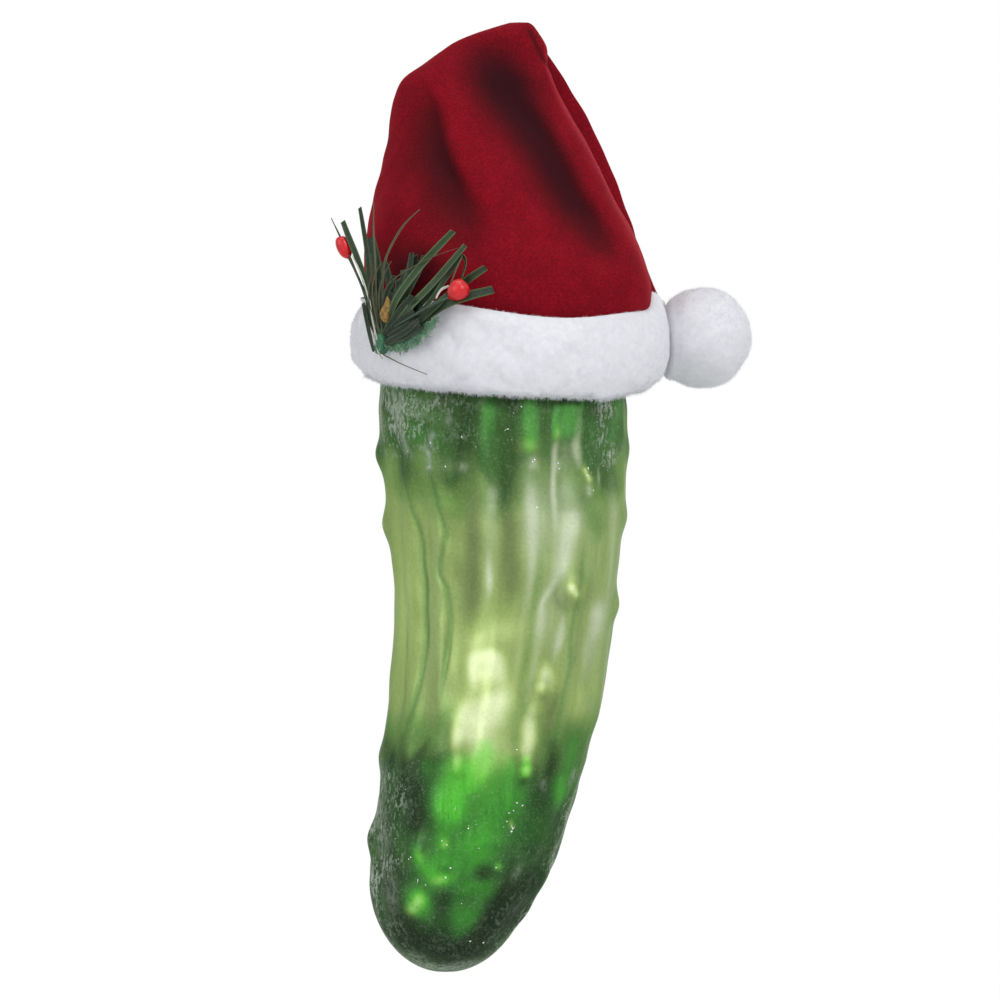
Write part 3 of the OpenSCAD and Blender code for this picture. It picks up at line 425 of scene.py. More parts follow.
# Marks seen from the front: sprayed lacquer, frost, and painted reflections, highlights and shade.
# Spots: x, z, half width and half height in mm, strength, and where they aren't the usual ones, hardness and lean
USUAL_HARDNESS_AND_LEAN = [2, 0]
SPOTS = {
    # Whitish streaks: painted reflections of the lamps in the silver
    "pale": [
        [8.6, -45.2, 2.24, 5.3, 0.45, 2.2, 0.05], [3.9, -43.2, 1.72, 6.9, 0.4, 2.2],
        [7.1, -55.8, 1.85, 4.8, 0.3, 2, 0.2], [-2.2, -43.2, 1.19, 4.5, 0.15],
        [13.8, -55.9, 1.06, 6.1, 0.3, 2, 0.15], [14.7, -44.6, 1.06, 6.1, 0.3], [7.1, -47.6, 3.43, 4.5, 0.35, 2.2],
        [5.6, -59.1, 2.11, 4, 0.3, 2, 0.1], [12.2, -61.2, 1.32, 5.3, 0.3, 2, 0.1],
        [8.4, -36.6, 1.19, 2.9, 0.35, 2.4], [8.5, -41.5, 1.19, 1.8, 0.4, 2.4], [15, -44.6, 0.66, 1.8, 0.3],
        [-1.3, -42, 0.79, 1.3, 0.55, 2.4], [12.6, -58, 0.92, 1.7, 0.85, 2.4, 0.1],
        [11.4, -41.2, 0.46, 1.1, 0.7, 2, -0.1], [-7.7, -38.6, 1.19, 1.1, 0.2], [-5.3, -38.2, 0.79, 0.7, 0.3],
        [4, -37.6, 0.66, 0.7, 0.5], [7.4, -38, 0.53, 0.8, 0.4], [5.9, -42.6, 0.92, 4, 0.3],
        [-9.6, -61.1, 0.53, 6.6, 0.15, 2, 0.05], [-12.6, -50.5, 0.66, 7.9, 0.15, 2, -0.06],
        [14.6, -47.9, 0.79, 6.6, 0.15]],
    # Warm yellow spots: painted highlights where the lamps shine in the silver, the warts' lit sides among them
    "glow": [
        [-3.9, -64.7, 0.66, 2.1, 0.9, 2.2], [-2.2, -63.5, 1.98, 0.9, 0.85, 2.4],
        [-0.6, -64.9, 1.06, 1.7, 0.8, 2.4, -0.1], [-2.3, -65.7, 1.45, 0.9, 0.5],
        [-4.8, -70.6, 1.19, 2, 0.85, 2.4, 0.2], [-5.8, -73.6, 0.79, 1.7, 0.85, 2.4, 0.2],
        [-1.5, -69.4, 1.85, 1.2, 0.9, 2.4, 0.2], [-2.8, -71.3, 1.98, 1.5, 1, 2.4, 0.2],
        [-3.8, -73.3, 1.58, 1.1, 0.7, 2.2], [-0.2, -68.4, 1.19, 1.6, 0.65, 2, 0.2], [-0.7, -71.1, 1.06, 1.6, 0.55],
        [5.7, -65.8, 0.92, 1.7, 0.8, 2.4, 0.1], [5, -67.5, 0.66, 0.8, 0.55], [6.7, -66.9, 0.66, 1.2, 0.45],
        [9.1, -54.1, 0.66, 0.7, 0.95, 2.4, -0.3], [9.7, -54.9, 0.46, 0.5, 0.75, 2, -0.3],
        [10.8, -38.5, 0.29, 0.5, 0.6, 2, -0.3], [11.3, -39.5, 0.33, 0.6, 0.8, 2, -0.3],
        [10.3, -68.7, 0.92, 1.8, 0.4], [9.9, -70.7, 1.06, 1.2, 0.25], [-0.1, -59.7, 3.43, 1.8, 0.4],
        [-3.2, -61.2, 1.85, 1.2, 0.4], [-6, -77.2, 0.59, 1.2, 0.6, 2.4, 0.1], [3.1, -78.3, 0.66, 0.8, 0.7, 2.4],
        [-8.5, -92.6, 1.06, 0.7, 0.55, 2.4], [-11.2, -95.7, 0.79, 1.1, 0.8, 2.4, 0.2],
        [-11.9, -96.7, 0.66, 0.7, 0.65], [3.6, -35.7, 0.92, 0.8, 0.4], [-2.3, -64.7, 1.98, 2, 0.8, 2.2],
        [-3.2, -77.7, 2.24, 3.7, 0.24], [-1.9, -74.5, 2.64, 2.9, 0.25], [-3, -70.6, 2.64, 4.2, 0.5, 2, -0.15],
        [3.6, -75, 1.06, 2.6, 0.35], [-0.3, -69, 2.64, 3.2, 0.35, 2, -0.2], [-2.6, -75.6, 2.24, 2.5, 0.5],
        [-2.1, -78.2, 1.19, 1.6, 0.35, 2, 0.4], [0.7, -76.6, 1.19, 2.4, 0.35, 2, 0.1],
        [-13, -57.2, 1.32, 9.2, 0.45, 2.2], [1.2, -69, 1.06, 4, 0.2, 2, 0.1], [-0.7, -61, 3.96, 3.3, 0.2],
        [12.3, -67.9, 0.79, 3.3, 0.2, 2, 0.15], [-6.9, -80.9, 1.19, 3.4, 0.18, 2, 0.1],
        [7.2, -33.6, 0.4, 0.9, 0.4], [-10.8, -90, 0.53, 0.7, 0.3, 2, -0.4], [-7.9, -87.9, 0.4, 0.5, 0.5],
        [1.1, -85.3, 0.33, 0.5, 0.45], [-0.6, -91.2, 0.33, 0.3, 0.4]],
    # Fresh green windows in the dark ends: thin lacquer over the silver, with a painted reflection of the light in it
    "green": [
        [-11.2, -95.7, 1.85, 2.2, 0.8, 2.2, -0.2], [-3, -83.8, 5.54, 5.8, 0.36, 2, 0.1],
        [-5.4, -89.9, 6.07, 3.4, 0.28], [-6.7, -81.7, 1.58, 3.7, 0.5, 2.2], [-3.8, -79.5, 2.11, 2.6, 0.4],
        [-10.1, -77.8, 1.19, 1.6, 0.35], [-8.1, -84, 1.06, 1.5, 0.6], [2.3, -81.6, 1.19, 3.7, 0.38, 2, 0.1],
        [-8.3, -93.8, 1.06, 0.8, 0.4], [-4, -96.2, 4.49, 4.5, 0.25, 2.2, 0.4], [4.7, -85, 2.38, 6.6, 0.3, 2, 0.1],
        [9.2, -77.8, 1.32, 4, 0.4, 2, 0.1], [-11.6, -84.3, 1.85, 3.4, 0.22], [12.9, -34.6, 1.85, 4, 0.3],
        [8.6, -30.4, 1.72, 0.7, 0.75, 2.6], [8.5, -32, 1.58, 1.5, 0.85, 2.8], [8.4, -33.7, 1.32, 1.1, 0.65, 2.4],
        [10.6, -29.6, 0.26, 0.9, 0.8], [15.4, -30.6, 0.79, 1.8, 0.5], [14.6, -33.3, 1.06, 1.8, 0.35],
        [-11.2, -33.6, 2.38, 1.6, 0.4, 2.4, -0.1], [-8.1, -87.5, 0.79, 1.1, 0.75],
        [-8.3, -92.5, 1.72, 1.1, 0.95, 2.2], [-11.2, -95.7, 1.32, 1.6, 0.9, 2.4, 0.2],
        [-9.3, -90.2, 2.38, 1.7, 0.6, 2.2, 0.4], [-6, -91.2, 2.9, 1.7, 0.4, 2.2],
        [-2.6, -89.6, 1.85, 1.6, 0.5, 2.2], [-0.7, -91.2, 0.53, 0.5, 0.8], [-3.4, -94.1, 2.64, 1.2, 0.5, 2.6],
        [-4.3, -87.8, 2.9, 1.8, 0.52, 2.2], [-5, -76.9, 2.38, 1.3, 0.45], [11.6, -32.6, 1.06, 2.1, 0.2],
        [7.6, -81.1, 1.06, 2.1, 0.45, 2.2], [9.2, -75.8, 1.58, 3.2, 0.3, 2, 0.3], [-14.3, -81.1, 0.79, 2.6, 0.2]],
    # Brownish green: painted shade between the painted reflections of the pale middle and on the warts' shaded sides
    "olive": [
        [-0.3, -62.4, 1.06, 0.9, 0.45], [-3.1, -67.9, 0.92, 0.5, 0.45], [7.7, -55.7, 1.06, 0.9, 0.9, 2.4, 0.6],
        [6.9, -54.5, 0.53, 0.8, 0.7, 2.4, 0.3], [9.5, -56.1, 0.79, 0.5, 0.6], [5.2, -68.9, 0.79, 0.7, 0.75, 2.4],
        [10.5, -41.8, 0.59, 1.3, 0.8, 2.4], [10, -43.6, 0.79, 0.8, 0.5], [-7.6, -65.3, 0.79, 4, 0.3],
        [2.3, -37.6, 1.06, 1.2, 0.5]],
    # Nearly black: thick lacquer in the dark ends, and a painted shadow just under the cuff
    "shade": [
        [-2.5, -94.6, 1.98, 1.2, 0.35, 2, 0.3], [1, -91.6, 1.19, 1.8, 0.4, 2, 0.4],
        [2.6, -95.8, 1.58, 2.9, 0.4, 2, 0.5], [-4.6, -95.1, 1.32, 1.6, 0.3],
        [-13.6, -99.8, 2.11, 2.9, 0.6, 2, -0.5], [2.3, -96.5, 2.11, 3.4, 0.5, 2, 0.6],
        [-4.3, -104.2, 3.96, 1.1, 0.5, 2, 0.4], [-7, -101.7, 5.28, 1.6, 0.5], [-8.3, -32.3, 2.9, 2.1, 0.35],
        [13.2, -32, 1.58, 2.1, 0.3], [-4.3, -35.7, 2.64, 1.6, 0.35], [1.2, -36.6, 1.58, 1.8, 0.35],
        [-15.8, -28.4, 1.06, 2.2, 0.75, 2.4], [-7.7, -29.1, 2.64, 1.2, 0.9, 2.4, -0.1],
        [-4.6, -30.8, 1.58, 2.2, 0.8, 2.4, -0.1], [-5.2, -34.1, 1.06, 2.6, 0.6, 2.2],
        [-0.3, -29.5, 2.11, 0.9, 0.85, 2.4], [1.5, -30.5, 1.32, 1.3, 0.7, 2.2], [0.3, -33.1, 1.58, 1.3, 0.4],
        [5.6, -29.9, 1.32, 0.5, 0.75, 2.4], [5.7, -32.8, 0.66, 2.1, 0.5, 2.2], [8.2, -29.6, 1.98, 0.5, 0.75, 2.4],
        [12.5, -30.6, 0.79, 1.8, 0.55], [-14.2, -32.6, 0.4, 1.8, 0.6, 2, -0.1], [-5.5, -38.1, 1.06, 1.1, 0.35],
        [-15.6, -75.7, 0.92, 1.8, 0.6, 2.2], [-11.6, -85.2, 1.98, 1.8, 0.75, 2.6],
        [2.8, -79.7, 0.66, 0.5, 0.75, 2.4], [-2.2, -91.9, 1.19, 0.9, 0.85, 2.4],
        [-8.1, -95.7, 1.06, 1.8, 0.75, 2.2], [-11, -100.8, 3.43, 1.7, 0.9, 2.6, -0.2],
        [-13.8, -100.9, 1.32, 1.8, 0.6, 2, -0.5], [-12.6, -98.6, 1.32, 1.2, 0.75, 2.2],
        [-6.5, -102.7, 4.49, 1.1, 0.95, 2.6, 0.1], [-7.6, -91.2, 0.66, 0.5, 0.4], [-5.6, -78.8, 1.19, 0.7, 0.35],
        [-0.1, -98.7, 2.38, 2.6, 0.8, 2.4, 0.8], [1.8, -95.2, 1.85, 2.6, 0.75, 2.2, 0.6],
        [-15.6, -93.1, 1.06, 3.4, 0.45, 2.2], [4.3, -92.5, 1.85, 2.1, 0.55, 2.2, 0.4],
        [-8.3, -30, 3.96, 0.7, 0.5, 2, -0.1]],
    # Grey frost rubbed on thickly
    "smear": [
        [-14.6, -94.8, 0.79, 2.4, 0.4], [-16.4, -82.6, 0.92, 4, 0.3], [-15.8, -89.1, 1.06, 4, 0.25],
        [-12.8, -30.5, 1.19, 0.8, 0.55, 2, -0.3], [-11.2, -31.3, 1.45, 0.5, 0.45], [-9.3, -33.9, 0.46, 0.5, 0.6],
        [-7.1, -32.2, 0.53, 0.7, 0.4], [-16, -32.6, 0.79, 1.1, 0.3], [-5.3, -38.4, 0.53, 0.5, 0.45],
        [5.6, -80.7, 0.4, 0.8, 0.4], [4, -37.7, 0.4, 0.7, 0.6], [16.1, -35.8, 0.26, 0.8, 0.5],
        [13.1, -30.9, 0.79, 1.8, 0.25], [-8.3, -104.9, 4.75, 0.6, 0.85, 2.4],
        [-11.7, -103.7, 1.32, 0.7, 0.5, 2, -0.8], [-4.3, -104.2, 1.85, 0.5, 0.5, 2, 0.4],
        [9.4, -79.6, 0.4, 1.1, 0.55, 2, 0.3], [-16.1, -80, 0.66, 1.6, 0.35], [-16.5, -84.6, 0.53, 2.1, 0.45],
        [-16, -87.6, 0.66, 1.1, 0.4], [11.6, -69.6, 0.53, 0.9, 0.3], [1.9, -92, 0.53, 1.1, 0.4, 2, 0.4]],
}
# Streaks: hardness, then x, z, half width in mm and strength along each, from the top down
STREAKS = {
    "pale": [
        (2.4, [
            [-1.4, -43.4, 0.79, 0.5], [-1.4, -45.9, 0.92, 0.35], [-1.5, -48.1, 0.79, 0.35],
            [-1.7, -50, 0.66, 0.55], [-1.7, -52.1, 0.66, 0.8], [-1.7, -53.6, 0.66, 0.85], [-1.8, -55, 0.53, 0.55],
            [-1.9, -56.3, 0.4, 0.15]]),
        (2.1, [
            [3.6, -39.4, 0.53, 0.2], [3.8, -41, 0.79, 0.6], [3.8, -43.2, 0.92, 0.85], [4, -45.5, 0.92, 0.95],
            [4, -47.8, 0.92, 0.85], [3.9, -50, 0.79, 0.7], [3.8, -52.1, 0.73, 0.6], [3.4, -54.2, 0.66, 0.5],
            [3.1, -56, 0.66, 0.45], [2.7, -58.4, 0.53, 0.4], [2.3, -61.3, 0.53, 0.35], [1.9, -63.7, 0.53, 0.35],
            [1.5, -66.3, 0.4, 0.15]]),
        (2.4, [
            [7.1, -34.1, 0.4, 0.3], [6.9, -36, 0.4, 0.7], [6.8, -38.3, 0.4, 0.8], [6.7, -41, 0.4, 0.9],
            [6.8, -43, 0.4, 0.85], [6.9, -44.7, 0.4, 0.6], [7.1, -46.5, 0.4, 0.3]]),
        (2.1, [
            [9.3, -43.6, 0.92, 0.3], [9, -44.4, 1.32, 0.8], [8.9, -46, 1.19, 0.95], [8.4, -48.5, 1.06, 0.9],
            [8, -50.5, 1.06, 0.85], [7.5, -52.1, 0.92, 0.75], [6.7, -53.5, 0.66, 0.65], [5.9, -55, 0.46, 0.75],
            [5.3, -56.4, 0.46, 0.75], [5.1, -58.1, 0.66, 0.75], [4.9, -60, 0.73, 0.7], [4.7, -61.8, 0.66, 0.45],
            [4.3, -63.7, 0.53, 0.4], [3.8, -66.3, 0.46, 0.45], [3.4, -68.7, 0.4, 0.35], [3.1, -70.6, 0.4, 0.15]]),
        (2.4, [
            [8.1, -57.1, 0.26, 0.2], [8, -58.4, 0.53, 0.6], [7.7, -60, 0.66, 0.75], [7.3, -61.7, 0.66, 0.7],
            [6.9, -63.2, 0.53, 0.45], [6.5, -64.8, 0.53, 0.2]]),
        (2.4, [
            [10.2, -30.8, 0.26, 0.4], [10, -32.5, 0.53, 0.6], [9.7, -34.6, 0.53, 0.7], [9.8, -36.6, 0.53, 0.65],
            [10.1, -38.1, 0.4, 0.35]]),
        (2.2, [
            [12.3, -59.6, 0.79, 0.6], [11.7, -61.2, 0.79, 0.45], [11.3, -63.2, 0.79, 0.4],
            [11.1, -65.4, 0.79, 0.3], [10.7, -67.8, 0.66, 0.15]]),
        (2.2, [
            [12.7, -38.6, 0.18, 0.5], [12.8, -39.9, 0.21, 0.7], [12.9, -41.2, 0.16, 0.3]]),
        (2.2, [
            [15.1, -46.6, 0.4, 0.2], [14.6, -50.6, 0.4, 0.3], [14.1, -55.9, 0.4, 0.2], [13.5, -61.2, 0.4, 0.25],
            [12.9, -66.6, 0.4, 0.15]])],
    "glow": [
        (2.6, [
            [4.3, -69, 0.53, 0.25], [3.9, -70.6, 0.79, 0.6], [3.6, -72.2, 1.06, 0.75], [3.5, -73.9, 1.06, 0.8],
            [3.2, -75.3, 0.92, 0.65], [3.1, -76.7, 0.66, 0.35]])],
    "green": [
        (2.2, [
            [-1.5, -28.6, 0.92, 0.8], [-1.7, -30.7, 0.92, 0.85], [-1.9, -32.7, 1.06, 0.65],
            [-2.2, -34.7, 1.06, 0.5], [-2.3, -36.6, 1.06, 0.35], [-2.4, -38.6, 0.92, 0.2]]),
        (2.2, [
            [3.9, -28.9, 0.79, 0.6], [3.7, -30.5, 1.06, 0.85], [3.7, -32.7, 1.06, 0.95], [3.7, -34.7, 1.06, 0.85],
            [3.6, -36.1, 0.92, 0.6], [3.4, -37.2, 0.79, 0.25]]),
        (2.4, [
            [7, -30, 0.4, 0.8], [6.9, -32, 0.4, 0.95], [6.9, -34.1, 0.4, 0.6]]),
        (2, [
            [-3.9, -74.8, 1.85, 0.05], [-4.3, -76.4, 2.24, 0.28], [-4.8, -77.7, 2.51, 0.9],
            [-5.6, -79.6, 2.51, 0.95], [-6.4, -81.3, 2.24, 1], [-6.7, -83, 2.11, 1], [-6.8, -84.5, 1.98, 0.95],
            [-7.2, -85.5, 1.58, 0.6], [-7.5, -86.3, 1.19, 0.3]]),
        (2.4, [
            [-2.2, -74.5, 1.19, 0.5], [-2.2, -76.4, 1.32, 0.85], [-2.4, -78.1, 1.19, 0.9],
            [-3.2, -79.5, 1.19, 0.8], [-3.8, -80.9, 1.06, 0.5]]),
        (2.2, [
            [0.6, -75.9, 1.06, 0.3], [0.1, -78, 1.58, 0.45], [-0.7, -80.2, 1.98, 0.55], [-1.1, -82.9, 2.24, 0.55],
            [-1.5, -85.5, 2.38, 0.55], [-1.9, -87.8, 2.38, 0.5]]),
        (2.4, [
            [1.3, -76.9, 0.53, 0.5], [0.9, -79.3, 0.66, 0.6], [0.9, -81.7, 0.66, 0.5], [0.5, -83.8, 0.53, 0.3]]),
        (2.4, [
            [3.1, -76.5, 0.66, 0.5], [3.1, -78, 0.79, 0.95], [3, -79.1, 0.79, 0.7]]),
        (1.8, [
            [-11.7, -88.7, 0.66, 0.35], [-10.9, -90, 0.92, 0.6], [-9.9, -91.3, 1.19, 0.65],
            [-8.7, -92.3, 1.19, 0.6]]),
        (2.8, [
            [-3.8, -93.4, 3.04, 0.22], [-3.9, -95.3, 2.51, 0.33], [-4.6, -97.2, 2.11, 0.48],
            [-5.2, -98.9, 1.58, 0.48], [-5.8, -100.3, 1.06, 0.4], [-6.2, -101.4, 0.53, 0.2]]),
        (2.2, [
            [7.6, -79.5, 0.92, 0.35], [7.6, -81.8, 0.79, 0.45], [7.2, -83.5, 0.66, 0.2]])],
    "olive": [
        (2.6, [
            [-4.4, -38.6, 0.66, 0.4], [-4, -40.9, 1.06, 0.7], [-3.8, -43.2, 1.06, 0.85], [-3.8, -45.9, 1.19, 0.95],
            [-3.9, -48.5, 1.12, 0.95], [-4, -50.7, 1.06, 0.9], [-4, -53.1, 1.19, 1], [-3.9, -55.8, 1.19, 0.95],
            [-4, -57.4, 1.06, 0.6], [-4.6, -58.7, 0.79, 0.2]]),
        (2.6, [
            [0.3, -38.1, 0.92, 0.6], [0.3, -40.2, 0.92, 0.8], [0.6, -42.3, 1.06, 0.9], [0.7, -44.2, 1.06, 0.95],
            [1, -46.8, 1.19, 1], [1, -49.2, 1.19, 1], [1.1, -51.8, 1.25, 1], [1.1, -53.8, 1.19, 0.85],
            [1.1, -55.5, 0.92, 0.5], [1.2, -56.6, 0.66, 0.15]]),
        (2.2, [
            [-6, -47.8, 0.53, 0.2], [-5.6, -51.2, 0.66, 0.35], [-5.4, -54.5, 0.79, 0.45], [-5.4, -57.4, 0.66, 0.4],
            [-5.6, -59.7, 0.53, 0.15]]),
        (2.2, [
            [-8.7, -63.7, 0.53, 0.2], [-8.8, -67.7, 0.66, 0.4], [-9.1, -70.1, 0.66, 0.35], [-9.6, -72.4, 0.66, 0.2]]),
        (2.4, [
            [2.2, -67.7, 0.4, 0.4], [1.6, -70.3, 0.53, 0.55], [1.1, -72.4, 0.59, 0.55], [0.7, -74.5, 0.59, 0.45],
            [0.3, -76.5, 0.53, 0.3]]),
        (2.4, [
            [6.7, -68.6, 0.53, 0.4], [6.4, -71, 0.66, 0.7], [6.1, -73, 0.73, 0.7], [6, -74.6, 0.66, 0.5]]),
        (2, [
            [12.4, -50.5, 0.4, 0.2], [11.9, -54.5, 0.53, 0.35], [10.8, -57.8, 0.53, 0.4],
            [10.1, -61.1, 0.53, 0.35], [9.5, -64.4, 0.53, 0.4]]),
        (2, [
            [2.3, -56.4, 0.4, 0.2], [1.8, -59.1, 0.4, 0.35], [1.1, -62.4, 0.53, 0.4], [0.9, -65.3, 0.4, 0.3]])],
    "shade": [
        (2.4, [
            [-10, -74.1, 0.4, 0.3], [-10.9, -75.8, 0.66, 0.65], [-11.9, -77.6, 0.92, 0.8],
            [-12.1, -79.7, 1.19, 0.85], [-11.9, -82.3, 1.58, 0.85], [-11.6, -84.7, 1.85, 0.85],
            [-11.6, -86.5, 1.32, 0.5]]),
        (2.4, [
            [-13.2, -73.8, 0.4, 0.35], [-13.4, -76.4, 0.46, 0.5], [-13.3, -79.1, 0.53, 0.5],
            [-13.6, -82.4, 0.79, 0.45]]),
        (2.4, [
            [6.7, -74.6, 0.66, 0.4], [6.6, -76.8, 0.79, 0.8], [6.2, -78.9, 0.79, 0.8], [5.6, -81, 1.06, 0.7],
            [5.1, -83, 1.45, 0.55], [4.7, -85.3, 1.58, 0.35], [4.4, -87.7, 1.58, 0.35], [4, -89.8, 1.72, 0.35]]),
        (2.6, [
            [0.9, -92.4, 0.79, 0.7], [0.2, -94.3, 1.19, 0.9], [-0.9, -96.3, 1.45, 0.95], [-1.9, -98.6, 1.58, 0.95],
            [-3, -100.8, 1.72, 0.9], [-3.8, -102.5, 1.58, 0.6]]),
        (2.2, [
            [-15.9, -82.6, 0.66, 0.3], [-15.2, -86.5, 0.92, 0.4], [-14.7, -90.4, 1.06, 0.45],
            [-14.4, -94.4, 1.19, 0.5], [-13.9, -97.8, 1.19, 0.6]])],
    "smear": [
        (2.2, [
            [-14.4, -27.4, 0.46, 0.5], [-14.1, -29.3, 0.59, 0.9], [-13.9, -31.3, 0.53, 1],
            [-13.5, -33.3, 0.46, 0.95], [-13.2, -34.6, 0.4, 0.7], [-12.7, -35.8, 0.53, 0.55],
            [-12.1, -36.9, 0.53, 0.2]]),
        (2.2, [
            [-9.7, -34.6, 0.33, 0.7], [-9.7, -36.1, 0.4, 1], [-9.6, -37.3, 0.33, 0.6], [-9.6, -38.2, 0.4, 0.8],
            [-9.6, -38.9, 0.26, 0.3]])],
}
# How far down the marks of each kind are moved at the back, in mm
BACK_SHIFT = {"pale": 3.0, "glow": 2.0, "green": 3.5, "olive": 2.5, "shade": 1.5, "smear": 2.0}


def streak_at(x, z, table, hardness):
    """A brush streak: strength across it from its middle line, with rounded ends."""
    table = np.array(table)[::-1]
    row = spline(table, row_index(table[:, 1], z))
    beyond = np.maximum(np.maximum(table[0, 1] - z, z - table[-1, 1]), 0)
    away = np.abs((x - row[..., 0]) / row[..., 2] / SPOT_SPREAD)
    return row[..., 3] * np.exp(-away ** hardness - (beyond / 0.5) ** 2)


def marks_at(points, kind):
    """Strength of one kind of mark at the front, and again, turned round and moved down, at the back."""
    total = np.zeros(points.shape[:-1])
    share = np.clip((SHOULDER_Z - points[..., 2]) / GLASS_LENGTH, 0, 1)
    axis_x = glass_row(share)[..., 1] * GLASS_D
    wobble_x = 0.13 * swell(points, (6, 6, 14), 61) + 0.05 * swell(points, (2.2, 2.2, 6), 62)
    wobble_z = 0.3 * swell(points, (6, 6, 10), 63)
    for front in (True, False):
        x = (points[..., 0] if front else 2 * axis_x - points[..., 0]) + wobble_x
        z = points[..., 2] + (0 if front else BACK_SHIFT[kind] * (1 - share)) + wobble_z
        seen = soft_step(1.5, -3.5, points[..., 1] if front else -points[..., 1])
        for px, pz, half_w, half_h, strength, *own in SPOTS[kind]:
            hardness, lean = own + USUAL_HARDNESS_AND_LEAN[len(own):]
            dz = z - pz
            away = np.hypot((x - px - lean * dz) / half_w, dz / half_h) / SPOT_SPREAD
            total = 1 - (1 - total) * (1 - seen * strength * np.exp(-away ** hardness))
        for hardness, table in STREAKS.get(kind, []):
            total = 1 - (1 - total) * (1 - seen * streak_at(x, z, table, hardness))
    return total


def glass_marks(s, angle, points):
    """Where the lacquer is dark, frosted or pooled in a crease, and where painted reflections, highlights and shade
    lie.
    """
    s, angle = np.broadcast_arrays(s, angle)
    rightward, forward = np.sin(np.radians(angle)), np.cos(np.radians(angle))
    wavy = swell(np.stack([rightward * 16, forward * 16, s * 30], -1), 7, 8)
    cloud = swell(points, 6, 9)
    facing = np.abs(forward)
    # The dark ends reach further in at the face than at the sides
    top = 1 - soft_step(0.215, 0.375, s + 0.03 * wavy + 0.025 * cloud + 0.035 * (1 - facing)
                        + 0.06 * soft_step(0.85, 1.0, rightward))
    top = top * (1 - 0.15 * (1 - facing))
    low = soft_step(0.57, 0.74, s + 0.012 * wavy + 0.012 * cloud)
    low = low * (1 - 0.32 * bell((s - 0.67) / 0.06) * soft_step(-0.2, 0.8, rightward))
    angle_front = turned(angle)
    side = np.abs(angle_front)
    frost = np.maximum.reduce([
        (1 - soft_step(0.2, 0.27, s)) * (0.1 + 0.75 * bell((angle_front + 60) / 22)),
        0.8 * (1 - soft_step(0.23, 0.29, s)) * bell((angle_front - 56) / 8),
        0.6 * (1 - soft_step(0.2, 0.3, s)) * bell((side - 150) / 26),
        soft_step(0.68, 0.73, s) * (1 - 0.35 * soft_step(0.84, 0.9, s)) * bell((angle_front + 82) / 24),
        0.7 * soft_step(0.66, 0.72, s) * bell((angle_front - 82) / 12),
        0.25 * soft_step(0.83, 0.87, s) * bell((angle_front - 55) / 18),
        0.12 * soft_step(0.7, 0.8, s),
        0.6 * soft_step(0.74, 0.8, s) * bell((side - 165) / 22),
        0.9 * soft_step(0.977, 0.99, s)]) * soft_step(0.05, 0.12, s)
    frost = frost * np.clip(0.85 + 0.45 * cloud, 0, 1.2)
    marks = {"dark": np.maximum(top, low), "low": soft_step(0.45, 0.6, s), "frost": frost,
             "crease": crease_at(s, angle)}
    marks.update({kind: marks_at(points, kind) for kind in SPOTS})
    marks["frost"] = frost * (1 - 0.7 * marks["green"] * low)
    return marks


GLASS_COLUMNS, GLASS_RINGS, INNER_RINGS = 296, 308, 14


def make_glass():
    # Columns stand closer together at the front
    angle = circle(GLASS_COLUMNS) - np.pi
    angle = np.degrees(angle - 0.33 * np.sin(angle))
    k = np.arange(GLASS_RINGS + 1) / GLASS_RINGS
    # Rings stand closer together at the tip and at the shoulder
    s = 1 - (0.35 * k + 0.65 * (1 - np.cos(np.pi * k)) / 2)
    outer, wart = glass_point(s[:, None], angle[None, :])
    outer[0] = outer[0].mean(0)
    marks = glass_marks(s[:, None], np.broadcast_to(angle, outer.shape[:2]), outer)
    marks["wart"] = wart
    a = np.radians(angle)

    def neck_ring(r, z):
        return np.stack([r * np.sin(a), -r * np.cos(a), np.full(len(a), z)], -1)

    neck_height = RIM_Z - SHOULDER_Z
    neck = np.array([neck_ring(NECK_R, SHOULDER_Z + neck_height * f) for f in (0.25, 0.5, 0.75, 0.97)]
                    + [neck_ring((NECK_R + NECK_INNER_R) / 2, RIM_Z), neck_ring(NECK_INNER_R, RIM_Z - 0.15)]
                    + [neck_ring(NECK_INNER_R, SHOULDER_Z + neck_height * f) for f in (0.6, 0.2)])
    inner_s = (1 - np.cos(np.pi * np.arange(2, INNER_RINGS + 1) / INNER_RINGS)) / 2 * (1 - GLASS_WALL / GLASS_LENGTH)
    inner, _ = glass_point(inner_s[:, None], angle[None, :], GLASS_WALL + 0.5, 0.0)
    inner[-1] = inner[-1].mean(0)
    rings = np.concatenate([outer, neck, inner])
    marks = {key: np.concatenate([m, np.zeros((len(rings) - len(m), GLASS_COLUMNS))]) for key, m in marks.items()}
    return lofted("glass_pickle", rings, marks)


glass = make_glass()


def scatter_on_glass(count, chance, seed):
    """Seeded places on the glass, kept where chance(s, angle, point) says, with their outward normals."""
    draw = np.random.RandomState(seed)
    s, angle = draw.uniform(0.13, 0.995, count * 30), draw.uniform(-180, 180, count * 30)
    points, _ = glass_point(s, angle)
    radius = GLASS_D / 2 * glass_row(s)[:, 2] * tip_factor(s)
    keep = draw.uniform(size=len(s)) < chance(s, angle, points) * radius / (GLASS_D / 2)
    s, angle = s[keep][:count], angle[keep][:count]
    return *on_glass(s, angle), draw


def on_glass(s, angle):
    """Points of the glass and their outward normals."""
    points, _ = glass_point(s, angle)
    along = glass_point(s + 0.002, angle)[0] - glass_point(s - 0.002, angle)[0]
    around = glass_point(s, angle + 0.6)[0] - glass_point(s, angle - 0.6)[0]
    return points, unit(np.cross(around, -along))


# The share of its size that a grain is sunk
SUNK = 0.25


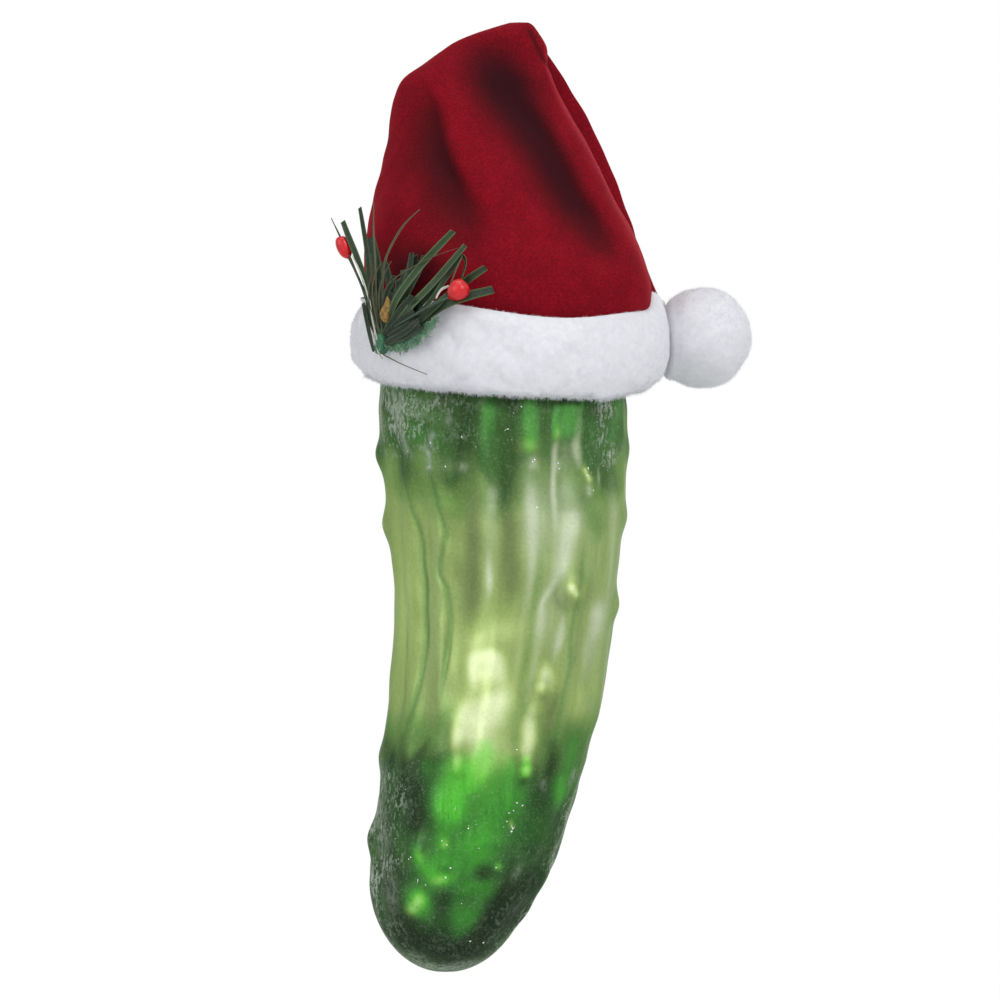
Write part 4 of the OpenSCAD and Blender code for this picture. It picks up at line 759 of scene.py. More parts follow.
def grains(name, places, normals, draw, size_low, size_high, flatness=0.6):
    """Crystals of eight faces, each turned at random and sunk a little into what it sits on."""
    deselect()
    bpy.ops.mesh.primitive_ico_sphere_add(subdivisions=1, radius=1)
    obj = bpy.context.object
    on_whole_mesh((bpy.ops.mesh.decimate, {"ratio": 0.4}))
    shape = np.array([v.co[:] for v in obj.data.vertices])
    faces = [tuple(p.vertices) for p in obj.data.polygons]
    n = len(places)
    size = draw.uniform(size_low, size_high, n)[:, None, None]
    turn = draw.normal(size=(n, 4))
    turn /= np.linalg.norm(turn, axis=1)[:, None]
    w, x, y, z = turn.T
    spin = np.stack([np.stack([1 - 2 * (y * y + z * z), 2 * (x * y - z * w), 2 * (x * z + y * w)], -1),
                     np.stack([2 * (x * y + z * w), 1 - 2 * (x * x + z * z), 2 * (y * z - x * w)], -1),
                     np.stack([2 * (x * z - y * w), 2 * (y * z + x * w), 1 - 2 * (x * x + y * y)], -1)], 1)
    local = np.einsum("nij,vj->nvi", spin, shape) * size
    height = np.einsum("nvi,ni->nv", local, normals)[..., None] * normals[:, None]
    local = local - (1 - flatness) * height
    return copies(obj, name, places[:, None] + local - normals[:, None] * size * SUNK, faces)


def frost_chance(s, angle, points):
    marks = glass_marks(s, angle, points)
    return np.clip(marks["frost"] + 0.3 * marks["smear"], 0, 1) ** 1.6


places, normals, draw = scatter_on_glass(900, frost_chance, 31)
frost_grains = grains("frost_grains", places, normals, draw, 0.05, 0.12)
# Loose flakes of glitter, and the larger ones that catch the light: share of the length and angle of each
SPARKLES = np.array([
    [0.208, 1.7], [0.175, 8.3], [0.217, -19.6], [0.254, 13.6], [0.25, 14.1], [0.256, 26.2], [0.263, 26.7],
    [0.299, 44], [0.294, 45.3], [0.78, -0.3], [0.783, -1.2], [0.798, -22.3], [0.805, -14.2], [0.807, -12.2],
    [0.802, -15.7], [0.826, -33.4], [0.829, -34.7], [0.774, 21.7], [0.783, 26], [0.788, 25.9], [0.758, 23.1],
    [0.761, 21.5], [0.747, 24.3], [0.751, 27.4], [0.754, -11.3], [0.842, -7.1], [0.845, -8.1], [0.856, -8.6],
    [0.865, -21.4], [0.861, -26.6], [0.841, 22.8], [0.894, 5], [0.95, 21.3], [0.799, 9.7], [0.813, 8.8],
    [0.783, -20.9], [0.261, -37.9], [0.225, -36.2], [0.274, 41.2], [0.264, 41.7], [0.169, 76.6], [0.67, 17.3],
    [0.953, 36.8], [0.32, 15.4], [0.261, -28.3]])
places, normals, draw = scatter_on_glass(
    60, lambda s, angle, p: 0.4 * np.clip(glass_marks(s, angle, p)["dark"], 0, 1) + 0.01, 32)
small_flakes = grains("small_flakes", places, normals, draw, 0.07, 0.15, flatness=0.35)
places, normals = on_glass(*SPARKLES.T)
large_flakes = grains("large_flakes", places, normals, draw, 0.3, 0.46, flatness=0.35)
glitter_flakes = joined("glitter_flakes", [small_flakes, large_flakes])

# ---------------------------------------------------------------- hat crown
CROWN_R, CROWN_HEIGHT, HEM_Z, CLOTH_T = 17.3, 43.1, -21.7043, 1.0
# Share of the height, then reach to the left, right, front and back in crown radii
CROWN_ROWS = np.array([
    [0, 1, 1, 1, 1], [0.08, 1.05, 1.04, 1.035, 1.03], [0.172, 1.075, 1.052, 1.05, 1.04],
    [0.26, 1.06, 1, 1.02, 0.97], [0.36, 1.04, 0.915, 0.936, 0.844], [0.45, 1, 0.832, 0.832, 0.705],
    [0.545, 0.935, 0.746, 0.717, 0.578], [0.61, 0.902, 0.671, 0.636, 0.497], [0.7, 0.861, 0.555, 0.509, 0.382],
    [0.765, 0.827, 0.48, 0.416, 0.3], [0.83, 0.757, 0.405, 0.324, 0.225], [0.886, 0.566, 0.329, 0.243, 0.168],
    [0.935, 0.382, 0.277, 0.185, 0.139], [0.965, 0.22, 0.237, 0.145, 0.116], [0.99, 0.03, 0.197, 0.081, 0.069],
    [1.0, -0.06, 0.16, 0.03, 0.03]])
# Valleys between the folds in front: x and z along each, then depth, and how wide it runs out left and right, in mm
VALLEYS = [
    [[-2, 20.5, 0.4, 3.8, 3.6], [-1.6, 17.3, 1.6, 4.6, 4.8], [0.2, 13.7, 2.6, 4.7, 4.8], [1.9, 10, 3.3, 4.6, 3.9],
     [4.1, 7, 3.4, 4.7, 3.1], [6.2, 4.2, 3.2, 4.6, 2.6], [8, 1, 3, 4.4, 2.2], [9.8, -2.5, 2.8, 4.3, 1.9],
     [11.8, -5.7, 2.5, 3.9, 2.1], [13.9, -9.2, 1.8, 3.3, 2.2], [15.4, -12.8, 0.4, 3, 2.2]],
    [[-11.4, 14.4, 0.4, 1.8, 0.9], [-9.2, 10, 1.5, 3.4, 0.9], [-8.4, 6.2, 2.1, 4.6, 0.9],
     [-7.2, 2.2, 2.2, 5.4, 0.9], [-5.9, -1, 2, 5.6, 1.3], [-5.3, -4.5, 1.7, 5.4, 2.4], [-4.8, -8.5, 1, 5, 3],
     [-4.6, -12, 0.3, 5, 3.2]]]
# Folds behind, gathered under the tail
BACK_VALLEYS = [
    [[-13.5, 14, 0.6, 1.2, 1.4], [-13.2, 6, 1.2, 1.6, 1.4], [-12.4, -3, 0.9, 1.8, 1.6], [-12, -12, 0.2, 2, 2]],
    [[6, 13, 0.3, 1.2, 1.2], [9, 2, 0.8, 1.6, 1.4], [12, -6, 0.6, 1.8, 1.6], [13.5, -12, 0.1, 2, 2]]]


def valley_at(x, z, valleys):
    """Depth of the folds' valleys at a place seen from the front, and how much painted shade lies in them there."""
    depth, share = np.zeros(x.shape), np.zeros(x.shape)
    for table in valleys:
        table = np.array(table)[::-1]
        row = spline(table, row_index(table[:, 1], z))
        away = x - row[..., 0]
        away = np.abs(away / np.where(away < 0, row[..., 3], row[..., 4]))
        inside = soft_step(table[0, 1] - 2, table[0, 1] + 1, z)
        depth += row[..., 2] * np.exp(-away ** 1.8) * inside
        share = np.maximum(share, np.exp(-(away / 1.25) ** 2) * inside * np.clip(row[..., 2] / 2.7, 0, 1))
    return depth, share


CROWN_COLUMNS, CROWN_RINGS = 220, 130
# The hanger's slit: an oval in the back seam, cut through from one y to the other
SLIT_Z, SLIT_WIDTH, SLIT_HEIGHT = -2.0, 5.0, 10.0
SLIT_FROM_Y, SLIT_DEPTH = 6, 20
CROWN_WALL = 0.85 * CLOTH_T


def crown_row(z, top):
    """The crown's measures at a height, up to a share of it."""
    return spline(CROWN_ROWS, row_index(CROWN_ROWS[:, 0], np.clip((z - HEM_Z) / CROWN_HEIGHT, 0, top)))


def crown_rings():
    angle = np.radians(np.arange(CROWN_COLUMNS) * 360 / CROWN_COLUMNS)[None, :]
    t = np.linspace(0, len(CROWN_ROWS) - 1, CROWN_RINGS + 1)[:, None]
    row = spline(CROWN_ROWS, t)
    height = row[..., 0]
    soft_top = 1 - soft_step(0.9, 1.0, height)
    left, right = row[..., 1] * CROWN_R, row[..., 2] * CROWN_R
    # The tail's edge shows past the crown near its peak, and the cloth bags out over the cuff on the right
    right = right - 0.4 * bell((height - 0.79) / 0.07) + 0.75 * soft_step(0.85, 0.93, height)
    degrees = np.abs(turned(np.degrees(angle) - 85))
    right = right + 1.75 * window(0.04, 0.12, 0.2, 0.58, height) * (1 - soft_step(8, 42, degrees))
    facing = np.cos(angle)
    depth = np.where(facing > 0, row[..., 3], row[..., 4]) * CROWN_R
    x = (right - left) / 2 + (right + left) / 2 * np.sin(angle)
    z = HEM_Z + height * CROWN_HEIGHT + 0 * angle
    fold, fold_share = valley_at(x, z, VALLEYS)
    back_fold, back_share = valley_at(x, z, BACK_VALLEYS)
    front = np.maximum(facing, 0) ** 0.6
    behind = np.maximum(-facing, 0) ** 0.6
    # The front is fuller towards its rolled right edge
    full = np.sign(facing) * np.abs(facing) ** (1 - 0.3 * soft_step(0, 0.9, np.sin(angle)) * (facing > 0))
    y = -depth * full + fold * front - back_fold * behind
    soft = swell(np.stack([x, y, z], -1), 11, 14)
    fine = swell(np.stack([x, y, z], -1), 4.5, 15)
    lift = soft_top * (0.28 * soft + 0.07 * fine) * soft_step(0.1, 0.3, height)
    points = np.stack([x + lift * np.sin(angle), y - lift * facing, z], -1)
    # Painted shade darkens the folds' valleys, in front and behind
    folds = np.maximum(fold_share * front, back_share * behind)
    # A painted shadow darkens the nap where the sprig rests on it
    folds = np.maximum(folds, 0.85 * bell((x + 12.5) / 4.0) * bell((z + 12.0) / 2.8) * front)
    # At the peak the front layer's rolled edge lies just inside the outline
    edge_x = np.interp(z, [14.8, 16.8, 20.3], [6.7, 5.0, 3.5])
    roll = bell((x - edge_x) / 0.3) * window(14.0, 15.5, 20.0, 20.8, z) * (facing > 0)
    points[..., 1] += 0.2 * roll
    # A painted line of shade lies along that rolled edge
    folds = np.maximum(folds, 0.6 * roll)
    # A painted highlight runs down the front layer's rolled right edge
    degrees = np.abs(turned(np.degrees(angle) - 79))
    ridge = bell(degrees / 5) * window(0.12, 0.3, 0.9, 0.97, height)
    # Towards the flat peak the cloth's own thickness goes down to what fits between its two sides
    wall = 1 - 0.93 * soft_step(0.8, 0.95, height) + 0 * angle
    return points, {"fold": folds, "ridge": ridge, "wall": wall}


points, marks = crown_rings()
top = points[-1:].mean(1, keepdims=True) + [0, 0, 0.05]
crown = lofted("velvet_crown", np.concatenate([points, np.repeat(top, CROWN_COLUMNS, axis=1)]),
               {key: np.concatenate([m, m[-1:]]) for key, m in marks.items()})


def group_from(obj, key):
    """A vertex group with an attribute's values as its weights."""
    values = np.empty(len(obj.data.vertices), np.float32)
    obj.data.attributes[key].data.foreach_get("value", values)
    group = obj.vertex_groups.new(name=key + "_weight")
    for index, value in enumerate(values):
        group.add([index], float(value), "REPLACE")
    return group.name


def cut_slit(obj):
    """The slit in the back seam is cut with an upright oval."""
    deselect()
    bpy.ops.mesh.primitive_cylinder_add(vertices=48, radius=0.5, depth=1)
    cutter = bpy.context.object
    co = np.array([v.co[:] for v in cutter.data.vertices])
    moved = np.stack([co[:, 0] * SLIT_WIDTH, SLIT_FROM_Y + (co[:, 2] + 0.5) * SLIT_DEPTH,
                      SLIT_Z - co[:, 1] * SLIT_HEIGHT], -1) * MM
    cutter.data.vertices.foreach_set("co", moved.ravel())
    on_whole_mesh(OUTWARD)
    apply_modifier(obj, "BOOLEAN", operation="DIFFERENCE", solver="EXACT", object=cutter)
    bpy.data.objects.remove(cutter)


apply_modifier(crown, "SOLIDIFY", thickness=CROWN_WALL * MM, offset=-1, use_even_offset=False,
               vertex_group=group_from(crown, "wall"))
cut_slit(crown)

# ---------------------------------------------------------------- hat tail
FOLD_TILT, TAIL_LEAN = math.radians(17), math.radians(34.5)
TAIL_LENGTH, TAIL_WIDTH, TAIL_T, SOFT_GAP = 38.6, 14.3, 3.0, 0.3
TAIL_ROOT = np.array([-1.557, 16.4392])
FOLD_Y = 4.3995
FOLD_FRONT_Y = FOLD_Y - 0.9
ACROSS = np.array([math.cos(FOLD_TILT), math.sin(FOLD_TILT)])
DOWN = np.array([math.sin(TAIL_LEAN), -math.cos(TAIL_LEAN)])
# Half the width and the thickness along the tail, as shares of its own
TAIL_ROWS = np.array([[0.5, 0.6], [0.45, 0.8], [0.36, 1], [0.25, 1], [0.13, 0.8], [0.05, 0.42]])
TAIL_RINGS, TAIL_COLUMNS = 110, 72
OVER_RINGS, OVER_HEIGHT = 10, 2.6


def back_depth(x, z, gap):
    """Depth of the crown's back under a point of the tail."""
    row = crown_row(z, 0.98)
    mid = (row[..., 2] - row[..., 1]) / 2 * CROWN_R
    reach = (row[..., 2] + row[..., 1]) / 2 * CROWN_R + gap
    q = np.minimum(np.abs(x - mid) / reach, 1)
    return (row[..., 4] * CROWN_R + gap) * np.sqrt(1 - q * q)


def tail_rings():
    angle = np.radians(-np.arange(TAIL_COLUMNS) * 360 / TAIL_COLUMNS)[None, :]
    s = np.linspace(0, 1, TAIL_RINGS + 1)[:, None]
    row = spline(TAIL_ROWS, s * (len(TAIL_ROWS) - 1))
    mid = TAIL_ROOT + s * TAIL_LENGTH * DOWN + np.sin(np.pi * s) * 0.028 * TAIL_LENGTH * ACROSS
    out = np.cos(angle)
    half = row[..., 0] * TAIL_WIDTH
    x = mid[:, :1] + ACROSS[0] * out * half
    z = mid[:, 1:] + ACROSS[1] * out * half
    front = np.maximum(back_depth(x, z, SOFT_GAP), FOLD_FRONT_Y)
    thick = row[..., 1] * TAIL_T
    # Two long soft folds run down the tail to its gathered tip
    across = out * (1 - 0.25 * s)
    crease = bell((across + 0.12) / 0.13) * window(0.02, 0.2, 0.75, 1, s)
    roll = bell((across - 0.5) / 0.16) * window(0.2, 0.5, 0.8, 1, s)
    rear = np.maximum(-np.sin(angle), 0) ** 0.7
    y = front + thick / 2 * (1 - np.sin(angle)) - rear * thick * (0.3 * crease + 0.22 * roll)
    points = np.stack([x, y, z], -1)
    points += (0.16 * swell(points, 7, 18))[..., None] * np.stack(
        [out * ACROSS[0], rear, out * ACROSS[1]], -1) * soft_step(0.05, 0.2, s)[..., None]
    # Painted shade lies in the two folds on the tail's back
    fold = rear * np.maximum(crease, 0.6 * roll)
    # Over the fold the cloth climbs back to the crown's ridge and tucks into it, narrower on the left
    climb = np.linspace(1, 0.12, OVER_RINGS)[:, None]
    over = points[:1] + np.zeros((OVER_RINGS, 1, 1))
    rise = np.array([-math.sin(FOLD_TILT), math.cos(FOLD_TILT)])
    reach = (over[..., 0] - TAIL_ROOT[0]) * ACROSS[0] + (over[..., 2] - TAIL_ROOT[1]) * ACROSS[1]
    drawn_in = (reach - reach.max()) * 0.38 * climb
    over[..., 0] += rise[0] * climb * OVER_HEIGHT - ACROSS[0] * drawn_in
    over[..., 2] += rise[1] * climb * OVER_HEIGHT - ACROSS[1] * drawn_in
    over[..., 1] = ((over[..., 1] - FOLD_Y) * (1 - 0.25 * climb) + FOLD_Y * np.cos(climb * np.pi / 2) ** 0.9
                    + 0.9 * climb)
    row = crown_row(over[..., 2], 0.99)
    inside = np.clip(over[..., 0], 0.4 - row[..., 1] * CROWN_R, row[..., 2] * CROWN_R - 0.3)
    tucked = soft_step(0.1, 0.6, climb)
    over[..., 0] += (inside - over[..., 0]) * tucked
    crown_top = np.interp(over[..., 0], [-14, -12.4, -9, -6, -3.2, 0, 1.6, 2.6, 3.6, 5.2],
                          [13.5, 14.6, 16.6, 18.4, 19.8, 20.6, 20.9, 20.6, 19.6, 17.4])
    over[..., 2] = np.minimum(over[..., 2], crown_top - 0.3 * tucked + 1.2 * (1 - tucked))
    return np.concatenate([over, points]), np.concatenate([np.zeros((OVER_RINGS, TAIL_COLUMNS)), fold])


points, folds = tail_rings()
tail = lofted("velvet_tail", capped(points), {"fold": np.concatenate([folds[:1], folds, folds[-1:]])})

# ---------------------------------------------------------------- fleece cuff
CUFF_LEAN_X, CUFF_R, CUFF_HEIGHT, CUFF_TOP_Z = 0.8, 21.0, 12.0, -15.4043
# The band falls towards the right and towards the front
CUFF_FALL_X, CUFF_FALL_Y = math.tan(math.radians(3.6)), math.tan(math.radians(4.2))
# The cuff's section: share of the way out and share of the way down, inside by the hat and then by the glass
CUFF_UPPER = [[0, 0.12], [0.22, 0.03], [0.42, 0.02], [0.62, 0.09], [0.8, 0.2], [0.94, 0.33], [1.0, 0.48],
              [0.98, 0.62], [0.86, 0.76], [0.66, 0.88], [0.4, 0.965]]
CUFF_LOWER = [[0.15, 1], [0, 0.9]]
CROWN_HUG = 1.075 * CROWN_R + 0.15
GLASS_HUG = GLASS_D / 2 + 0.15
CUFF_COLUMNS, CUFF_LOOP = 300, 72


def cuff_rings():
    angle = np.radians(np.arange(CUFF_COLUMNS) * 360 / CUFF_COLUMNS)[:, None]
    table = np.array([[a, CROWN_HUG, CUFF_TOP_Z - h * CUFF_HEIGHT, 1] for a, h in CUFF_UPPER]
                     + [[a, GLASS_HUG, CUFF_TOP_Z - h * CUFF_HEIGHT, 1] for a, h in CUFF_LOWER]
                     + [[0, GLASS_HUG, HEM_Z - 0.9, 0], [0, CROWN_HUG, HEM_Z - 0.9, 0]])
    n = len(table)
    closed = np.concatenate([table, table, table])
    row = spline(closed, n + np.arange(CUFF_LOOP) * n / CUFF_LOOP)[None, :, :]
    across, inner, z, tilted = (row[..., i] for i in range(4))
    across = np.clip(across, 0, 1.02)
    x = inner * np.sin(angle) * (1 - across) + (CUFF_LEAN_X + CUFF_R * np.sin(angle)) * across
    y = -(inner * (1 - across) + CUFF_R * across) * np.cos(angle)
    z = z + tilted * (-x * CUFF_FALL_X + y * CUFF_FALL_Y)
    points = np.stack([x, y, z], -1)
    outside = soft_step(0.3, 0.75, across)
    out = np.stack([np.sin(angle), -np.cos(angle), 0 * angle], -1)
    up = (row[..., 2] - (CUFF_TOP_Z - CUFF_HEIGHT / 2)) / (CUFF_HEIGHT / 2)
    soft = 0.28 * swell(points, 9, 21) + 0.13 * swell(points, 3.6, 22) + 0.05 * swell(points, 1.4, 23)
    points = points + (outside * soft)[..., None] * unit(out + [0, 0, 1] * np.clip(up, -1, 1)[..., None])
    # The lower lip is scalloped, the upper lip dips under the crown's bag, and the seam stands up at the right
    degrees = turned(np.degrees(angle))
    scallop = 0.3 * swell(points, 4.2, 24) + 0.16 * swell(points, 1.5, 25)
    points[..., 2] += soft_step(-0.5, -1, up) * scallop * soft_step(0.15, 0.5, across)
    # At its two ends, as seen from the front, the lower lip is drawn in round the glass
    drawn = soft_step(-0.5, -1.0, up) * soft_step(0.0, 0.3, across)
    left_end, right_end = soft_step(-35, -85, degrees), soft_step(40, 80, degrees)
    points[..., 0] += (1.3 * left_end - 0.7 * right_end) * drawn
    points[..., 2] += (0.2 * left_end + 0.7 * right_end) * drawn - 1.1 * left_end * soft_step(0.3, 1.0, up)
    points[..., 0] += 0.9 * left_end * soft_step(0.2, 0.9, up) * soft_step(0.2, 0.6, across)
    points[..., 0] += 1.1 * bell((degrees - 82) / 12) * bell((up - 0.75) / 0.35) * soft_step(0.1, 0.5, across)
    dip = 1.1 * bell((degrees - 24) / 20) + 0.35 * bell((degrees + 2) / 18)
    points[..., 2] -= dip * soft_step(0.0, 0.9, up)
    corner = bell((degrees - 83.5) / 5.0) * soft_step(0.3, 1.0, up) * (1 - 0.65 * soft_step(0.1, 1.0, across))
    points[..., 2] += 2.5 * corner * soft_step(-0.1, 0.2, across)
    # Behind, the band's two ends meet in a seam
    seam = bell((np.degrees(angle) - 180) / 1.3) * outside
    points = points - 0.55 * seam[..., None] * out
    return np.concatenate([points, points[:1]])


cuff = lofted("fleece_cuff", cuff_rings())

# ---------------------------------------------------------------- pompom
POMPOM_CENTRE = np.array([26.7285, 4.15466, -20.7823])
POMPOM_R = 6.7
PRESSED_EDGE = 0.35
POMPOM_SIDE = math.radians(9.10341)
FLAT_REACH = math.hypot(POMPOM_CENTRE[0] - 0.8, POMPOM_CENTRE[1]) - CUFF_R - SOFT_GAP


def pompom_rings():
    polar = np.linspace(0, np.pi, 97)[:, None]
    angle = circle(128)[None, :]
    ball = np.stack([-np.cos(polar) + 0 * angle, np.sin(polar) * np.cos(angle), np.sin(polar) * np.sin(angle)], -1)
    points = ball * POMPOM_R
    # The side towards the cuff is pressed flat, with a soft edge
    depth = -FLAT_REACH
    over = depth - points[..., 0]
    pressed = depth + PRESSED_EDGE * np.logaddexp(0, -over / PRESSED_EDGE)
    points[..., 0] = np.where(over > -1.2, pressed, points[..., 0])
    # Pressed against the cuff it spreads down along it
    ahead = np.clip((-3 - points[..., 0]) / (FLAT_REACH - 3), 0, 1) ** 1.6
    points[..., 2] -= 1.15 * ahead * soft_step(0.0, -4.0, points[..., 2])
    soft = 0.16 * swell(points, 6, 27) + 0.07 * swell(points, 2.6, 28)
    free = soft_step(depth + 0.1, depth + 1.8, points[..., 0])
    points += (soft * free)[..., None] * ball
    turn = np.array([[math.cos(POMPOM_SIDE), -math.sin(POMPOM_SIDE), 0],
                     [math.sin(POMPOM_SIDE), math.cos(POMPOM_SIDE), 0], [0, 0, 1]])
    return points @ turn.T + POMPOM_CENTRE


pompom = lofted("fleece_pompom", pompom_rings())


# ---------------------------------------------------------------- short fleece pile
# A fibre bends this far up, and this much of it is left beyond
KNEE, BEYOND_KNEE = 0.55, 0.45


def pile(name, base, count, keep, seed, length, width, lean=1.1, droop=0.0):
    """Loose fibre ends: thin three-sided spikes that stand and lean on a surface, mostly where keep says."""
    draw = np.random.RandomState(seed)
    mesh = base.data
    mesh.calc_loop_triangles()
    tri = np.empty(len(mesh.loop_triangles) * 3, int)
    mesh.loop_triangles.foreach_get("vertices", tri)
    co = np.empty(len(mesh.vertices) * 3)
    mesh.vertices.foreach_get("co", co)
    co = co.reshape(-1, 3) / MM
    corners = co[tri.reshape(-1, 3)]
    cross = np.cross(corners[:, 1] - corners[:, 0], corners[:, 2] - corners[:, 0])
    area = np.linalg.norm(cross, axis=1)
    chance = area * keep(corners.mean(1), unit(cross))
    pick = draw.choice(len(area), count, p=chance / chance.sum())
    a, b = draw.uniform(size=(2, count))
    flip = a + b > 1
    a, b = np.where(flip, 1 - a, a)[:, None], np.where(flip, 1 - b, b)[:, None]
    place = corners[pick, 0] + a * (corners[pick, 1] - corners[pick, 0]) + b * (corners[pick, 2] - corners[pick, 0])
    normal = unit(cross[pick])
    way = unit(normal + lean * draw.normal(size=(count, 3)) * 0.55 + [0, 0, -droop])
    way = unit(way + normal * np.maximum(0.25 - np.sum(way * normal, axis=1), 0)[:, None])
    long = draw.uniform(*length, count)[:, None]
    side = unit(np.cross(way, draw.normal(size=(count, 3))))
    other = np.cross(way, side)
    root = place - normal * 0.05
    bend = unit(way + 0.5 * draw.normal(size=(count, 3)) * 0.6)
    rings = []
    for at, r in ((root, width), (root + way * long * KNEE, width * 0.75)):
        for k in range(3):
            c, s = math.cos(k * 2 * math.pi / 3) * r, math.sin(k * 2 * math.pi / 3) * r
            rings.append(at + c * side + s * other)
    rings.append(root + way * long * KNEE + bend * long * BEYOND_KNEE)
    deselect()
    bpy.ops.mesh.primitive_cone_add(vertices=3, radius1=1, depth=1)
    faces = [(0, 2, 1)]
    for k, after in ((0, 1), (1, 2), (2, 0)):
        faces += [(k, after, after + 3, k + 3), (k + 3, after + 3, 6)]
    return copies(bpy.context.object, name, np.stack(rings, axis=1), faces)


def cuff_outside(points, normals):
    radial = np.hypot(points[:, 0] - CUFF_LEAN_X, points[:, 1])
    outward = (normals[:, 0] * (points[:, 0] - CUFF_LEAN_X) + normals[:, 1] * points[:, 1]) / radial
    return (soft_step(17.8, 18.6, radial) * (0.35 + soft_step(-0.4, 0.3, outward))
            * (1 + 1.6 * soft_step(-24.5, -26.5, points[:, 2])))


SHORT_FIBRE, FIBRE_R = (0.15, 0.5), 0.02
cuff_pile = pile("cuff_pile", cuff, 17000, cuff_outside, 41, SHORT_FIBRE, FIBRE_R)


def pompom_free(points, normals):
    local = (points - POMPOM_CENTRE) @ np.array([math.cos(POMPOM_SIDE), math.sin(POMPOM_SIDE), 0])
    return 0.02 + soft_step(-FLAT_REACH + 0.2, -FLAT_REACH + 1.4, local)


pompom_pile = pile("pompom_pile", pompom, 10000, pompom_free, 42, SHORT_FIBRE, FIBRE_R)


def lower_lip(points, normals):
    """Loose tufts hang over the glass from the cuff's lower lip."""
    radial = np.hypot(points[:, 0] - CUFF_LEAN_X, points[:, 1])
    low = CUFF_TOP_Z - CUFF_HEIGHT + points[:, 1] * CUFF_FALL_Y - points[:, 0] * CUFF_FALL_X
    tufts = np.clip(0.5 + 0.9 * swell(points, 1.6, 46), 0, 1) ** 2
    return soft_step(17.0, 17.8, radial) * soft_step(1.3, 0.3, points[:, 2] - low) * (0.05 + tufts)


def upper_lip(points, normals):
    """Short fibres blur the cuff's upper edge against the velvet."""
    radial = np.hypot(points[:, 0], points[:, 1])
    tufts = np.clip(0.6 + 0.8 * swell(points, 1.4, 48), 0.1, 1)
    return soft_step(0.1, 0.5, normals[:, 2]) * soft_step(20.2, 19.2, radial) * tufts


cuff_brim = pile("cuff_brim", cuff, 13000, upper_lip, 47, length=(0.1, 0.33), width=0.022, lean=1.0, droop=-0.4)
cuff_fringe = pile("cuff_fringe", cuff, 8000, lower_lip, 44, length=(0.2, 0.8), width=FIBRE_R, lean=1.3, droop=0.6)

# ---------------------------------------------------------------- sprig
SPRIG = np.array([-15.85, -14.0])
STEM_LOW_Z, STEM_TOP_Z = -23.3, -19.7
# The needles' fan turns back round the cuff as it goes right; its layers lie this far apart, in mm
FAN_TURN = math.radians(25)
LAYER = 0.42
FILM_T = 0.16


def hat_front(x, z):
    """Depth of the hat's front, its cuff below and its crown above, at a place seen from the front."""
    x, z = np.asarray(x, float), np.asarray(z, float)
    cuff_y = -np.sqrt(np.maximum((CUFF_R + 0.4) ** 2 - (x - CUFF_LEAN_X) ** 2, 0.01))
    row = crown_row(z, 0.9)
    crown_y = -row[..., 3] * CROWN_R * np.sqrt(np.maximum(1 - (x / (row[..., 1] * CROWN_R)) ** 2, 0))
    # The cuff's upper edge falls to the right
    above = soft_step(-16.6, -15.2, z + 0.063 * x)
    return cuff_y * (1 - above) + crown_y * above


def sprig_point(x, z, layer, lift=0.0):
    """A point of the fan seen at x, z from the front; the fan turns round the cuff as it goes right."""
    x, z = np.asarray(x, float), np.asarray(z, float)
    fan_y = SPRIG[1] - (x - SPRIG[0]) * math.tan(FAN_TURN)
    y = np.minimum(fan_y, hat_front(x, z) - 0.35) + layer * LAYER - np.asarray(lift, float)
    return np.stack([x, y, z], -1)


FAN_OUT = np.array([-math.sin(FAN_TURN), -math.cos(FAN_TURN), 0.0])


def fan_line(path, layer, lift, count):
    """A smooth line of points through x, z places of the fan, lifted towards the eye by lift at its two ends."""
    path = np.asarray(path, float)
    return smooth_path(sprig_point(path[:, 0], path[:, 1], layer, np.linspace(*lift, len(path))), count)


def strip_frame(line):
    """The ways along, out of and across the face of a strip that follows a line."""
    tangent = unit(np.gradient(line, axis=0))
    face = unit(FAN_OUT - tangent * (tangent @ FAN_OUT)[:, None])
    return tangent, face, np.cross(tangent, face)


def film_piece(name, rings, across, tone):
    """Closes a strip's rings and marks its edges and its tone."""
    body = capped(rings)
    shape = body.shape[:2]
    return lofted(name, body, {"edge": np.broadcast_to(np.abs(across), shape), "tone": np.full(shape, tone)})


def blade(name, path, layer, width, thickness, tone, lift, twist=(0.0, 0.0), root=0.6, tip=0.85, trough=0.14,
          pointed=0.1):
    """A cut strip of needle film along a path of x, z places, its edges lifted into a shallow trough."""
    line = fan_line(path, layer, lift, 34)
    t = np.linspace(0, 1, len(line))
    tangent, face, wide = strip_frame(line)
    turn = np.radians(twist[0] + (twist[1] - twist[0]) * t)[:, None]
    face, wide = face * np.cos(turn) + wide * np.sin(turn), wide * np.cos(turn) - face * np.sin(turn)
    half = width / 2 * (root + (1 - root) * soft_step(0, 0.3, t)) * (1 - (1 - tip) * soft_step(0.7, 1, t))
    a = circle(18)
    across = np.sign(np.cos(a)) * np.abs(np.cos(a)) ** 0.7
    rings = []
    for p, f, w, h in zip(line, face, wide, half):
        rise = thickness / 2 * np.sin(a) + trough * width * (across ** 2 - 0.4)
        rings.append(p + (across * h)[:, None] * w + rise[:, None] * f)
    rings = np.array(rings)
    # The end is snipped across, a little askew
    end = rings[-1:] + tangent[-1] * width * pointed
    end = end + (across * half[-1] * 0.3)[None, :, None] * tangent[-1]
    end = end.mean(1, keepdims=True) + (end - end.mean(1, keepdims=True)) * 0.86
    return film_piece(name, np.concatenate([rings, end]), across, tone)


